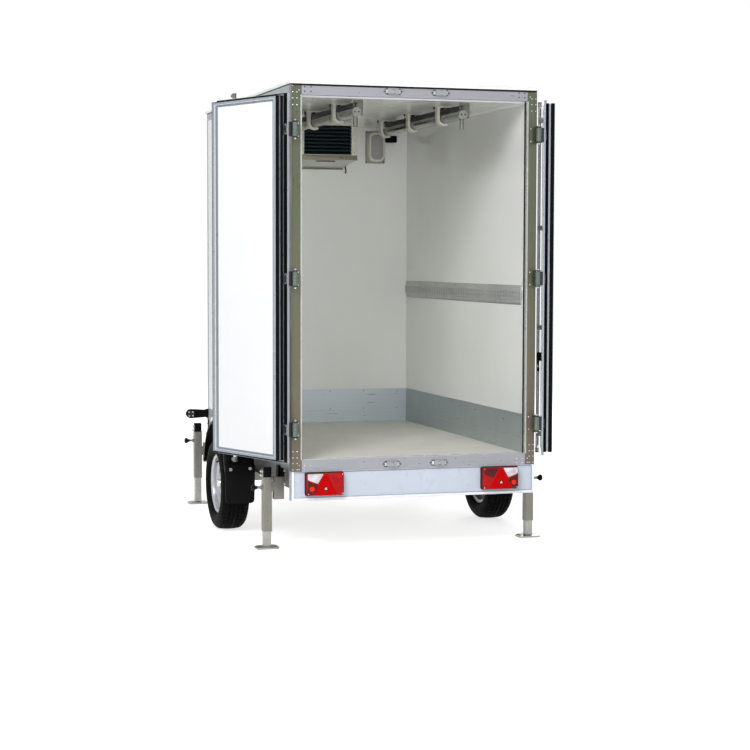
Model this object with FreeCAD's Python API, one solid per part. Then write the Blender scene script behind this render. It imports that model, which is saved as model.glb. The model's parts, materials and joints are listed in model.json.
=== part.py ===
import FreeCAD, Part

import math
import os

from FreeCAD import Vector as V

# A single-axle refrigerated box trailer. Millimetres, Z up from the ground, X to the right,
# Y forward to the coupling. While the pieces are made, Y is measured from the rear frame's
# face. write() then moves them so that the origin is on the ground, in the middle of the
# trailer's length and width. Large rounds have ROUND_SIDES flats and small repeated ones
# SMALL_SIDES, which keeps the whole model light.

os.makedirs("parts", exist_ok=True)

ROUND_SIDES = 52
MID_SIDES = 24
SMALL_SIDES = 12
FIT = 0.3

# Box body
BODY_W = 1550.0
BODY_LEN = 2468.0
FLOOR_UNDER = 500.0
FLOOR_T = 68.0
DECK_T = 2.0
DECK_GAP = 1.0
WALL_T = 61.0
FRONT_WALL_T = 69.0
INSIDE_H = 2155.0
ROOF_T = 69.0
ROOF_LINE_T = 4.0
ROOF_LINE_IN = 8.0
ROOF_LIP_T = 17.0
ROOF_LIP_OUT = 9.0
ROOF_LIP_BEVEL = 5.0
PROFILE_T = 2.0
PROFILE_W = 45.0
CORNER_R = 24.0

# Rear frame
POST_W = 62.0
FRAME_DEPTH = 50.0
HEADER_H = 61.0
SILL_H = 69.0
KEEP_W = 119.0
KEEP_H = 43.0
KEEP_OUT = 22.0
KEEP_PLATE_T = 5.0
KEEP_BOSS_W = 62.0
KEEP_SLOT_W = 16.0
KEEP_SLOT_H = 26.0
KEEP_UNDER_TOP = 27.5
KEEP_OVER_SILL = 29.7
ROD_X = 150.0
REAR_BEAM_H = 177.0
REAR_BEAM_D = 60.0
REAR_BEAM_T = 4.0
REAR_BEAM_LIP = 16.0
REAR_BEAM_SET = 6.0

# Doors, measured along the leaf from the hinge pin, and from the outer face towards the load space
PIN_IN = 8.5
PIN_Y = -51.7
LEAF_OFF = 31.7
DOOR_OPEN_DEG = 248.6
LEAF_START = 16.5
LEAF_GAP = 3.0
LEAF_STEP = 28.0
PLUG_START = 62.0
PLUG_UNDER_GAP = 8.6
PLUG_OVER_GAP = 13.4
PLUG_DEEP = 67.4
FLANGE_T = 11.0
FLANGE_OVER = 20.0
DOOR_RIM = 30.0
DOOR_FREE_RIM = 66.0
PANEL_INSET = 2.0
SEAL_OUT = 14.0
SEAL_T = 7.0
SEAL_AT = (20.0, 50.0)
SEAL_EDGE = 3.5
ROD_R = 11.0
ROD_OFF = 20.0
ROD_OVER = 36.0
ROD_UNDER = 44.0
CAM_H = 30.0
CAM_REACH = 26.0
CAM_T = 20.0
GUIDE_H = 34.0
GUIDE_W = 52.0
GUIDE_PLATE_W = 84.0
GUIDE_PLATE_T = 4.0
GUIDE_END = 60.0
GUIDE_MID = 320.0
HANDLE_UP = 600.0
HANDLE_LEN = 330.0
HANDLE_DROP = 62.0
HANDLE_H = 34.0
HANDLE_T = 16.0
HANDLE_HUB_H = 56.0
HANDLE_HUB_W = 44.0
HINGE_H = 100.0
HINGE_LOW_UP = 257.0
HINGE_MID_UP = 9.0
HINGE_TOP_DOWN = 267.0
HINGE_LEAF_T = 4.0
HINGE_LEAF_W = 46.0
HINGE_ARM_T = 6.0
HINGE_STRAP = 40.0
EAR_T = 5.0
EAR_NECK = 10.5
BARREL_R = 17.0

# Chassis
RAIL_H = 120.0
RAIL_W = 50.0
RAIL_T = 4.0
RAIL_IN = 30.0
RAIL_FRONT_BACK = 40.0
BEARER_H = 60.0
BEARER_W = 40.0
BEARER_T = 3.0
BEARER_FIRST_Y = 560.0
BEARER_PAST_AXLE = 324.0
BEARER_LAST_BACK = 48.0
ARM_H = 90.0
ARM_W = 60.0
ARM_T = 4.0
ARM_PAST_AXLE = 214.0
ARM_BACK_IN = 215.0
ARM_FRONT_BACK = 288.0
ARM_FRONT_X = 88.0

# Axle and wheels
AXLE_Y = 1176.0
WHEEL_OUT = 134.0
TYRE_R = 298.0
TYRE_W = 189.0
TREAD_HALF = 68.0
SHOULDER_R = 273.0
SHOULDER_X = 89.0
BULGE_R = 236.0
BEAD_R = 200.0
BEAD_X = 79.0
SEAT_R = 176.0
SEAT_GAP = 0.5
RIM_LIP_R = 190.0
RIM_W = 140.0
RIM_LIP_T = 6.0
RIM_SLOPE = 6.0
RIM_WALL = 5.0
DISC_X = 18.0
DISC_T = 6.0
HAT_R = 76.0
HAT_X = 34.0
HUB_BORE = 32.0
VENT_COUNT = 6
VENT_IN_R = 104.0
VENT_OUT_R = 134.0
VENT_W = 26.0
AXLE_TUBE = 80.0
AXLE_AHEAD = 150.0
AXLE_TUBE_Z = 335.0
AXLE_SEAT_LEN = 190.0
AXLE_SEAT_FOOT = 110.0
SWING_T = 22.0
SWING_BIG_R = 54.0
SWING_SMALL_R = 40.0
DRUM_R = 115.0
DRUM_W = 52.0
STUB_PAST = 36.0

# Mudguards
GUARD_R = 345.0
GUARD_UP = 71.0
GUARD_T = 4.0
GUARD_GAP = 30.0
GUARD_W = 195.0
GUARD_FRONT_DEG = 7.2
GUARD_REAR_DEG = 169.8
GUARD_STEPS = 22
GUARD_SKIRT = 70.0
GUARD_LIP = 24.0
GUARD_BEVEL = 8.0
FLAP_H = 243.0
FLAP_Z = 209.0
FLAP_T = 6.0
FLAP_SEAT_H = 42.0
FLAP_CORNER = 22.0
LUG_W = 50.0
LUG_H = 40.0

# Support legs
LEG_OUT = 80.0
LEG_REAR_Y = 302.0
LEG_FRONT_BACK = 39.0
SLEEVE_DROP = (394.0, 313.0)
SLEEVE_LEN = 395.0
SLEEVE_SIDE = 55.0
SLEEVE_WALL = 4.0
SLEEVE_CAP_H = 62.0
SLEEVE_CAP_IN = 3.0
LEG_SIDE = SLEEVE_SIDE - 2 * SLEEVE_WALL - 2 * FIT
LEG_WALL = 3.5
LEG_UP = 300.0
FOOT_W = 142.0
FOOT_D = 105.0
FOOT_T = 4.0
FOOT_RISE = 12.0
KNOB_UP = 270.0
KNOB_R = 21.0
KNOB_LEN = 27.0
KNOB_STEM_R = 8.0
KNOB_REACH = 96.0
LEG_ARM_LOW = 198.0
LEG_ARM_HIGH = 60.0
LEG_ARM_HALF = 24.0
LEG_PAD_OUT = 14.0
LEG_PAD_UP = 10.0
LEG_PLATE_T = 6.0
LEG_PLATE_HALF = 50.0

# Drawbar gear
COUPLING_AHEAD = 1290.0
COUPLING_DROP = 20.0
BALL_R = 25.0
BALL_BORE = 51.0
HEAD_BACK = 128.0
HEAD_W = 44.0
HEAD_DOWN = 26.0
HEAD_UP = 36.0
NOSE_AHEAD = 50.0
HITCH_BACK = 150.0
HITCH_PLATE_T = 8.0
HITCH_PLATE_SIDE = 30.0
HITCH_BODY_H = 70.0
HITCH_BODY_PAST = 36.0
GAITER_R = (30.0, 41.0)
GAITER_FOLDS = 4
GAITER_LEN = 88.0
SHAFT_R = 24.0
BRAKE_LEN = 300.0
BRAKE_T = 12.0
BRAKE_X = 42.0
JOCKEY_BACK = 518.0
JOCKEY_X = 272.0
JOCKEY_R = 24.0
JOCKEY_WALL = 3.0
JOCKEY_TUBE_DROP = 60.0
JOCKEY_TUBE_LEN = 430.0
JOCKEY_CAP = 12.0
CRANK_R = 7.0
CRANK_UP = 40.0
CRANK_LEN = 120.0
CRANK_GRIP_R = 12.0
CRANK_GRIP_LEN = 90.0
COLLAR_T = 9.0
COLLAR_H = 52.0
JOCKEY_STEM_R = JOCKEY_R - JOCKEY_WALL - FIT
JOCKEY_STEM_LEN = 340.0
JOCKEY_WHEEL_R = 100.0
JOCKEY_WHEEL_W = 50.0
JOCKEY_WEB_R = 72.0
JOCKEY_WEB_T = 24.0
JOCKEY_BORE = 8.0
JOCKEY_TRAIL = 45.0
FORK_T = 5.0
FORK_SIDE_GAP = 6.0
FORK_OVER = 30.0

# Inside the load space
KICK_H = 241.0
KICK_T = 3.0
KICK_LINE = 84.0
LASH_UP = 916.0
LASH_H = 121.0
LASH_PLATE_T = 3.0
LASH_OUT = 10.0
LASH_FLANGE = 27.0
LASH_START = 67.0
MEAT_X = 340.0
MEAT_DROP = 73.0
MEAT_R = 30.0
MEAT_START = 120.0
MEAT_END_GAP = 250.0
HANGERS = 3
HANGER_FIRST = 370.0
HANGER_LAST = 55.0
HANGER_GAP = 6.0
HANGER_T = 15.0
HANGER_HALF = 22.0
HANGER_BLOCK = 12.0
HANGER_PLATE = (42.0, 30.0, 6.0)
MEAT_END_PLATE = (14.0, 50.0, 6.0)
PEG_R = 14.0
PEG_LEN = 60.0
PEG_IN = 30.0
EVAP_W = 430.0
EVAP_DEPTH = 399.0
EVAP_FRONT_DROP = 261.0
EVAP_BACK_DROP = 299.0
EVAP_SIDE = 42.0
EVAP_TOP = 18.0
EVAP_STRIP_H = 38.0
EVAP_STRIP_T = 3.0
SLATS = 8
SLAT_T = 3.0
SLAT_DEEP = 38.0
LAMP_IN = 247.0
LAMP_DROP = 142.0
LAMP_PLATE = (142.0, 237.0, 6.0)
LAMP_LENS = (110.0, 224.0, 54.0)
SENSOR_IN = (169.0, 89.0)
SENSOR_DROP = (106.0, 57.0)
SENSOR_T = 40.0

# Cooling unit on the front wall
UNIT_W = 800.0
UNIT_D = 360.0
UNIT_H = 660.0
UNIT_DROP = 163.0
UNIT_BEVEL = 40.0
FAN_R = 200.0
FAN_DEEP = 70.0
FAN_HUB_R = 46.0
FAN_BLADES = 5
BLADE_W = 70.0
BLADE_T = 5.0
LOUVRES = 6
LOUVRE_H = 20.0
LOUVRE_PITCH = 48.0
LOUVRE_DEEP = 22.0
LOUVRE_LEN = 220.0

# Lamps
TAIL_W = 240.0
TAIL_H = 140.0
TAIL_D = 52.0
TAIL_BASE_D = 24.0
TAIL_RIM = 5.0
TAIL_BEVEL = 10.0
TAIL_IN = (200.0, 235.0)
TAIL_UNDER = 75.0
TRIANGLE_SIDE = 116.0
TRIANGLE_T = 4.0
MARKER_UP = 150.0
MARKER_H = 65.0
MARKER_REACH = 162.0
MARKER_T = 38.0
MARKER_BACK = 31.0
MARKER_BASE = 26.0
CABLE_R = 4.0

FLOOR_TOP = FLOOR_UNDER + FLOOR_T
CEILING = FLOOR_TOP + INSIDE_H
ROOF_TOP = CEILING + ROOF_T
HALF_W = BODY_W / 2
SKIN_X = HALF_W - PROFILE_T
SKIN_Y = BODY_LEN - PROFILE_T
INSIDE_X = HALF_W - WALL_T
FRONT_IN_Y = BODY_LEN - FRONT_WALL_T
HEADER_Z = ROOF_TOP - HEADER_H
PIN_X = HALF_W - PIN_IN
LEAF_END = PIN_X - LEAF_GAP
PLUG_W = LEAF_END - LEAF_STEP - PLUG_START
PLUG_LOW = FLOOR_UNDER + SILL_H + PLUG_UNDER_GAP
PLUG_HIGH = HEADER_Z - PLUG_OVER_GAP
RAIL_LOW = FLOOR_UNDER - RAIL_H
RAIL_OUT_X = HALF_W - RAIL_IN
ARM_TOP = FLOOR_UNDER - BEARER_H
ARM_BACK_X = HALF_W - ARM_BACK_IN
SWING_X = HALF_W
WHEEL_X = HALF_W + WHEEL_OUT
GUARD_IN_X = HALF_W + GUARD_GAP
GUARD_OUT_X = GUARD_IN_X + GUARD_W
LEG_X = HALF_W + LEG_OUT
TAIL_X = (TAIL_IN[0] - HALF_W, HALF_W - TAIL_IN[1])
LAMP_X = INSIDE_X - LAMP_IN
SENSOR = tuple(INSIDE_X - inset for inset in SENSOR_IN)
COUPLING_Y = BODY_LEN + COUPLING_AHEAD
COUPLING_Z = ARM_TOP - COUPLING_DROP
NOSE_Y = COUPLING_Y + NOSE_AHEAD
MID_Y = (NOSE_Y + PIN_Y - BARREL_R) / 2
ARM_FRONT_Y = COUPLING_Y - ARM_FRONT_BACK
ARM_BACK_Y = AXLE_Y + ARM_PAST_AXLE
LEG_Y = (LEG_REAR_Y, BODY_LEN - LEG_FRONT_BACK)
SLEEVE_Z = tuple(FLOOR_UNDER - drop for drop in SLEEVE_DROP)
SIDES = (-1, 1)
UP = V(0, 0, 1)


def box(x0, x1, y0, y1, z0, z1):
    """A block between two corners, given in any order along X."""
    low = min(x0, x1)
    return Part.makeBox(abs(x1 - x0), y1 - y0, z1 - z0, V(low, y0, z0))


def rod(start, along, radius, length):
    """A true round bar."""
    return Part.makeCylinder(radius, length, V(*start), V(*along))


def sheet(points, move):
    """A closed outline of straight edges, pushed along the vector move."""
    corners = [V(*p) for p in points]
    return Part.Face(Part.makePolygon(corners + corners[:1])).extrude(V(*move))


def ring_points(sides, radius):
    """Corners of a regular outline as pairs."""
    angles = [2 * math.pi * k / sides for k in range(sides)]
    return [(radius * math.cos(a), radius * math.sin(a)) for a in angles]


def bar(start, axis, radius, length, sides=SMALL_SIDES):
    """A bar with flat sides along X, Y or Z, from start in the positive direction."""
    x, y, z = start
    pairs = ring_points(sides, radius)
    if axis == "x":
        return sheet([(x, y + a, z + b) for a, b in pairs], (length, 0, 0))
    if axis == "y":
        return sheet([(x + a, y, z + b) for a, b in pairs], (0, length, 0))
    return sheet([(x + a, y + b, z) for a, b in pairs], (0, 0, length))


def skin(rings, closed):
    """A solid through matching outlines: flat faces between neighbours, capped unless closed."""
    loops = rings + rings[:1] if closed else rings
    faces = []
    for one, two in zip(loops, loops[1:]):
        for k in range(len(one)):
            m = (k + 1) % len(one)
            faces.append(Part.Face(Part.makePolygon([one[k], one[m], two[m], two[k], one[k]])))
    if not closed:
        faces.extend(Part.Face(Part.makePolygon(r + r[:1])) for r in (rings[0], rings[-1]))
    shell = Part.makeShell(faces)
    shell.sewShape()
    solid = Part.Solid(shell)
    if solid.Volume < 0:
        solid.reverse()
    return solid


def turned(points, sides):
    """Spin an outline of (radius, x) points about the X axis in flat steps."""
    rings = []
    for a, b in ring_points(sides, 1.0):
        rings.append([V(x, r * a, r * b) for r, x in points])
    return skin(rings, True)


def join(*shapes):
    """One solid from shapes that meet."""
    return shapes[0].multiFuse(list(shapes[1:])).removeSplitter()


def mirrored(shape):
    """The shape's mirror image across the trailer's middle."""
    return shape.mirror(V(0, 0, 0), V(1, 0, 0))


def both(shape):
    """The shape and its mirror image across the trailer's middle."""
    return Part.makeCompound([shape, mirrored(shape)])


def write(name, shape):
    """Move a piece to the trailer's own origin and write it."""
    moved = shape.copy()
    moved.translate(V(0, -MID_Y, 0))
    moved.exportStep(f"parts/{name}.step")


def write_pair(name, left):
    """Write a left-hand piece and its mirror image."""
    write(f"{name}_left", left)
    write(f"{name}_right", mirrored(left))


def round_corners(shape, radius):
    """Round the two upright front corners of a body panel."""
    for side in SIDES:
        x = side * SKIN_X
        inner = side * (SKIN_X - radius)
        y = SKIN_Y - radius
        corner = box(inner, x + side, y, SKIN_Y + 1, FLOOR_UNDER - 1, ROOF_TOP + 1)
        shape = shape.cut(corner.cut(rod((inner, y, FLOOR_UNDER - 1), (0, 0, 1), radius, ROOF_TOP)))
    return shape


def make_body():
    """The insulated panels: floor, side walls, front wall and roof."""
    back = FRAME_DEPTH
    base = box(-INSIDE_X, INSIDE_X, back, FRONT_IN_Y, FLOOR_UNDER, FLOOR_TOP - DECK_T)
    deck_x = INSIDE_X - KICK_T - DECK_GAP
    deck_end = FRONT_IN_Y - KICK_T - DECK_GAP
    deck = box(-deck_x, deck_x, back, deck_end, FLOOR_TOP - DECK_T, FLOOR_TOP)
    write("floor", join(base, deck))
    radius = CORNER_R - PROFILE_T
    wall = box(-SKIN_X, -INSIDE_X, back, SKIN_Y, FLOOR_UNDER, CEILING)
    write_pair("wall", round_corners(wall, radius))
    write("wall_front", box(-INSIDE_X, INSIDE_X, FRONT_IN_Y, SKIN_Y, FLOOR_UNDER, CEILING))
    slab = round_corners(box(-SKIN_X, SKIN_X, back, SKIN_Y, CEILING, ROOF_TOP), radius)
    line_x = HALF_W - ROOF_LINE_IN
    line_end = BODY_LEN - ROOF_LINE_IN
    line = box(-line_x, line_x, ROOF_LINE_IN, line_end, ROOF_TOP, ROOF_TOP + ROOF_LINE_T)
    out = HALF_W + ROOF_LIP_OUT
    lip_z = ROOF_TOP + ROOF_LINE_T
    lip = box(-out, out, -ROOF_LIP_OUT, BODY_LEN + ROOF_LIP_OUT, lip_z, lip_z + ROOF_LIP_T)
    top_edges = [e for e in lip.Edges if min(v.Z for v in e.Vertexes) > lip_z + 1]
    write("roof", join(slab, line, lip.makeChamfer(ROOF_LIP_BEVEL, top_edges)))


def make_edge_profiles():
    """Aluminium angle profiles on the body's outer edges, rounded at the front corners."""
    height = ROOF_TOP - FLOOR_UNDER
    y = BODY_LEN - CORNER_R
    pieces = []
    for side in SIDES:
        x0 = side * SKIN_X
        x1 = side * HALF_W
        for z in (FLOOR_UNDER, ROOF_TOP - PROFILE_W):
            pieces.append(box(x0, x1, FRAME_DEPTH, y, z, z + PROFILE_W))
        pieces.append(box(x0, x1, BODY_LEN - PROFILE_W, y, FLOOR_UNDER, ROOF_TOP))
        turn_x = side * (HALF_W - CORNER_R)
        inner = side * (HALF_W - PROFILE_W)
        pieces.append(box(inner, turn_x, SKIN_Y, BODY_LEN, FLOOR_UNDER, ROOF_TOP))
        axis = (turn_x, y, FLOOR_UNDER)
        ring = rod(axis, (0, 0, 1), CORNER_R, height)
        ring = ring.cut(rod(axis, (0, 0, 1), CORNER_R - PROFILE_T, height))
        pieces.append(ring.common(box(turn_x, x1, y, BODY_LEN, FLOOR_UNDER, ROOF_TOP)))
    turn_x = HALF_W - CORNER_R
    for z in (FLOOR_UNDER, ROOF_TOP - PROFILE_W):
        pieces.append(box(-turn_x, turn_x, SKIN_Y, BODY_LEN, z, z + PROFILE_W))
    write("edge_profiles", join(*pieces))


def make_keep(x, z):
    """One lock keep: a pointed base plate with a slotted boss."""
    half = KEEP_W / 2
    flat = KEEP_BOSS_W / 2
    tall = KEEP_H / 2
    outline = [(-half, 0), (-flat, -tall), (flat, -tall), (half, 0), (flat, tall), (-flat, tall)]
    plate = sheet([(x + a, 0, z + b) for a, b in outline], (0, -KEEP_PLATE_T, 0))
    boss_tall = tall * 0.75
    boss = box(x - flat, x + flat, -KEEP_OUT, 0, z - boss_tall, z + boss_tall)
    slot_x = KEEP_SLOT_W / 2
    slot_z = KEEP_SLOT_H / 2
    slot = box(x - slot_x, x + slot_x, -KEEP_OUT - 1, -KEEP_PLATE_T, z - slot_z, z + slot_z)
    return join(plate, boss).cut(slot)


def hinge_heights():
    """Middle height of each hinge, from the lowest up."""
    low = FLOOR_UNDER + HINGE_LOW_UP
    top = ROOF_TOP - HINGE_TOP_DOWN
    return low, (low + top) / 2 + HINGE_MID_UP, top


def make_rear_frame():
    """Corner posts with their hinge leaves, header, sill and the beam below them."""
    parts = [box(-HALF_W, -HALF_W + POST_W, 0, FRAME_DEPTH, FLOOR_UNDER, ROOF_TOP)]
    front = PIN_Y - BARREL_R
    left = -PIN_X - BARREL_R
    right = -PIN_X + BARREL_R
    neck = -PIN_X + EAR_NECK
    bevel = BARREL_R * 0.4
    for z in hinge_heights():
        low = z - HINGE_H / 2
        parts.append(box(-HALF_W, -HALF_W + HINGE_LEAF_W, -HINGE_LEAF_T, 0, low, low + HINGE_H))
        for ear_z in (low, low + HINGE_H - EAR_T):
            ear = [
                (left, PIN_Y, ear_z),
                (left, front + bevel, ear_z),
                (left + bevel, front, ear_z),
                (right - bevel, front, ear_z),
                (right, front + bevel, ear_z),
                (right, PIN_Y + bevel, ear_z),
                (neck, PIN_Y + BARREL_R + bevel, ear_z),
                (neck, 0, ear_z),
                (-HALF_W, 0, ear_z),
            ]
            parts.append(sheet(ear, (0, 0, EAR_T)))
    write_pair("rear_post", join(*parts))
    inner = HALF_W - POST_W
    header = box(-inner, inner, 0, FRAME_DEPTH, HEADER_Z, ROOF_TOP)
    sill = box(-inner, inner, 0, FRAME_DEPTH, FLOOR_UNDER, FLOOR_UNDER + SILL_H)
    keep_z = ROOF_TOP - KEEP_UNDER_TOP
    write("header_rail", join(header, *[make_keep(s * ROD_X, keep_z) for s in SIDES]))
    keep_z = FLOOR_UNDER + KEEP_OVER_SILL
    write("sill_rail", join(sill, *[make_keep(s * ROD_X, keep_z) for s in SIDES]))
    low = FLOOR_UNDER - REAR_BEAM_H
    top = FLOOR_UNDER
    wall = REAR_BEAM_T
    beam = box(-HALF_W, HALF_W, 0, REAR_BEAM_D, low, top)
    web = REAR_BEAM_SET + wall
    room = box(-HALF_W + wall, HALF_W - wall, web, REAR_BEAM_D + 1, low + wall, top - wall)
    lip = REAR_BEAM_LIP
    face = box(-HALF_W + lip, HALF_W - lip, -1, REAR_BEAM_SET, low + lip, top - wall)
    write("rear_crossmember", beam.cut(room).cut(face))


def make_tail_lamps():
    """Two lamp units on the rear beam, each a base, a lens and a raised reflector triangle."""
    lamps = []
    z = FLOOR_UNDER - TAIL_UNDER
    for x in TAIL_X:
        side = 1 if x > 0 else -1

        def slab(rim, y0, y1):
            wide = TAIL_W / 2 - rim
            tall = TAIL_H / 2 - rim
            cut = TAIL_BEVEL
            outline = [
                (-wide + cut, -tall),
                (wide - cut, -tall),
                (wide, -tall + cut),
                (wide, tall - cut),
                (wide - cut, tall),
                (-wide + cut, tall),
                (-wide, tall - cut),
                (-wide, -tall + cut),
            ]
            return sheet([(x + a, y0, z + b) for a, b in outline], (0, y1 - y0, 0))

        back = REAR_BEAM_SET
        face = back - TAIL_D + TRIANGLE_T
        base = slab(0, back - TAIL_BASE_D, back)
        lens = slab(TAIL_RIM, face, back - TAIL_BASE_D)
        half = TRIANGLE_SIDE / 2
        low = z - TAIL_H / 2 + 2 * TAIL_RIM
        middle = x + side * (TAIL_W / 2 - half - 2 * TAIL_RIM)
        tip = low + TRIANGLE_SIDE * math.sqrt(3) / 2
        corners = [(middle - half, face, low), (middle + half, face, low), (middle, face, tip)]
        lamps.append(join(base, lens, sheet(corners, (0, -TRIANGLE_T, 0))))
    write("tail_lamps", Part.makeCompound(lamps))


def hang(shape):
    """Place a closed leaf at its pin, then swing it to the open pose."""
    placed = shape.copy()
    placed.translate(V(-PIN_X, PIN_Y + LEAF_OFF, 0))
    placed.rotate(V(-PIN_X, PIN_Y, 0), UP, -DOOR_OPEN_DEG)
    return placed


def seal_ring(deep):
    """A rubber lip round the plug."""
    start = PLUG_START
    end = PLUG_START + PLUG_W
    edge = SEAL_EDGE
    low = PLUG_LOW - edge
    ring = box(start - edge, end + SEAL_OUT, deep, deep + SEAL_T, low, PLUG_HIGH + edge)
    return ring.cut(box(start, end, deep - 1, deep + SEAL_T + 1, PLUG_LOW, PLUG_HIGH))


def make_doors():
    """Each leaf: white panel, aluminium rim and flange with its gear, and black seals."""
    low = PLUG_LOW
    high = PLUG_HIGH
    plug_end = PLUG_START + PLUG_W
    rim = DOOR_RIM
    start = PLUG_START + rim
    end = plug_end - DOOR_FREE_RIM
    inset = PANEL_INSET
    panel = box(start, end, inset, PLUG_DEEP - inset, low + rim, high - rim)
    write_pair("door_panel", hang(panel))

    flange_low = low - FLANGE_OVER
    flange_high = high + FLANGE_OVER
    flange = box(LEAF_START, LEAF_END, 0, FLANGE_T, flange_low, flange_high)
    plug = box(PLUG_START, plug_end, 0, PLUG_DEEP, low, high)
    hole = box(start, end, -1, PLUG_DEEP + 1, low + rim, high - rim)
    parts = [flange.fuse(plug).cut(hole)]
    mid = HINGE_H / 2 - EAR_T - FIT
    for z in hinge_heights():
        parts.append(bar((0, -LEAF_OFF, z - mid), "z", BARREL_R, 2 * mid))
        web = BARREL_R - HINGE_ARM_T
        parts.append(box(web, BARREL_R, -LEAF_OFF, 0, z - mid, z + mid))
        strap_end = LEAF_START + HINGE_STRAP
        parts.append(box(web, strap_end, -HINGE_ARM_T, 0, z - mid, z + mid))
    at = PIN_X - ROD_X
    rod_low = flange_low - ROD_UNDER
    rod_high = flange_high + ROD_OVER
    parts.append(bar((at, -ROD_OFF, rod_low), "z", ROD_R, rod_high - rod_low))
    cam_n = -ROD_OFF + ROD_R
    for z in (rod_low, rod_high - CAM_H):
        cam = [
            (at - ROD_R, cam_n, z),
            (at - ROD_R, cam_n - CAM_T, z),
            (at + ROD_R, cam_n - CAM_T, z),
            (at + CAM_REACH, cam_n - CAM_T * 0.7, z),
            (at + CAM_REACH, cam_n, z),
        ]
        parts.append(sheet(cam, (0, 0, CAM_H)))
    middle = (low + high) / 2
    guides = (low + GUIDE_END, middle - GUIDE_MID, middle + GUIDE_MID, high - GUIDE_END)
    for z in guides:
        z0 = z - GUIDE_H / 2
        z1 = z + GUIDE_H / 2
        plate = GUIDE_PLATE_W / 2
        half = GUIDE_W / 2
        parts.append(box(at - plate, at + plate, -GUIDE_PLATE_T, inset, z0, z1))
        block = [
            (at - half, 0, z0),
            (at - half * 0.6, -ROD_OFF - ROD_R * 0.8, z0),
            (at + half * 0.6, -ROD_OFF - ROD_R * 0.8, z0),
            (at + half, 0, z0),
        ]
        parts.append(sheet(block, (0, 0, GUIDE_H)))
    hub_z = low + HANDLE_UP
    hub_half = HANDLE_HUB_W / 2
    n0 = -ROD_OFF - HANDLE_T / 2
    hub_top = hub_z + HANDLE_HUB_H / 2
    parts.append(box(at - hub_half, at + hub_half, n0, inset, hub_top - HANDLE_HUB_H, hub_top))
    lever = [
        (at, n0, hub_z - HANDLE_H / 2),
        (at, n0, hub_z + HANDLE_H / 2),
        (at - HANDLE_LEN * 0.3, n0, hub_z + HANDLE_H / 2 - HANDLE_DROP),
        (at - HANDLE_LEN, n0, hub_z + HANDLE_H * 0.4 - HANDLE_DROP),
        (at - HANDLE_LEN, n0, hub_z - HANDLE_H * 0.4 - HANDLE_DROP),
        (at - HANDLE_LEN * 0.3, n0, hub_z - HANDLE_H / 2 - HANDLE_DROP),
    ]
    parts.append(sheet(lever, (0, HANDLE_T, 0)))
    write_pair("door_frame", hang(join(*parts)))
    write_pair("door_seal", hang(Part.makeCompound([seal_ring(deep) for deep in SEAL_AT])))


def make_chassis():
    """Side rails, floor bearers and the two arms of the drawbar."""
    x = -RAIL_OUT_X
    end = BODY_LEN - RAIL_FRONT_BACK
    full = box(x, x + RAIL_W, REAR_BEAM_D, end, RAIL_LOW, FLOOR_UNDER)
    wall = RAIL_T
    y0 = REAR_BEAM_D - 1
    room = box(x + wall, x + RAIL_W + 1, y0, end + 1, RAIL_LOW + wall, FLOOR_UNDER - wall)
    write_pair("chassis_rail", full.cut(room))
    inner = RAIL_OUT_X - RAIL_W
    low = FLOOR_UNDER - BEARER_H
    wall = BEARER_T
    third = AXLE_Y + BEARER_PAST_AXLE
    last = BODY_LEN - BEARER_LAST_BACK
    bearers = []
    for y in (BEARER_FIRST_Y, third, (third + last) / 2, last):
        full = box(-inner, inner, y, y + BEARER_W, low, FLOOR_UNDER)
        y1 = y + BEARER_W + 1
        room = box(-inner - 1, inner + 1, y + wall, y1, low + wall, FLOOR_UNDER - wall)
        bearers.append(full.cut(room))
    write("floor_bearers", Part.makeCompound(bearers))

    def arm_outline(inset):
        half = ARM_W / 2 - inset
        z = ARM_TOP - ARM_H + inset
        return [
            (-ARM_BACK_X - half, ARM_BACK_Y, z),
            (-ARM_BACK_X + half, ARM_BACK_Y, z),
            (-ARM_FRONT_X + half, ARM_FRONT_Y, z),
            (-ARM_FRONT_X - half, ARM_FRONT_Y, z),
        ]

    outer = sheet(arm_outline(0), (0, 0, ARM_H))
    room = sheet(arm_outline(ARM_T), (0, 0, ARM_H - 2 * ARM_T))
    write("drawbar_arms", both(outer.cut(room)))


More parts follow.
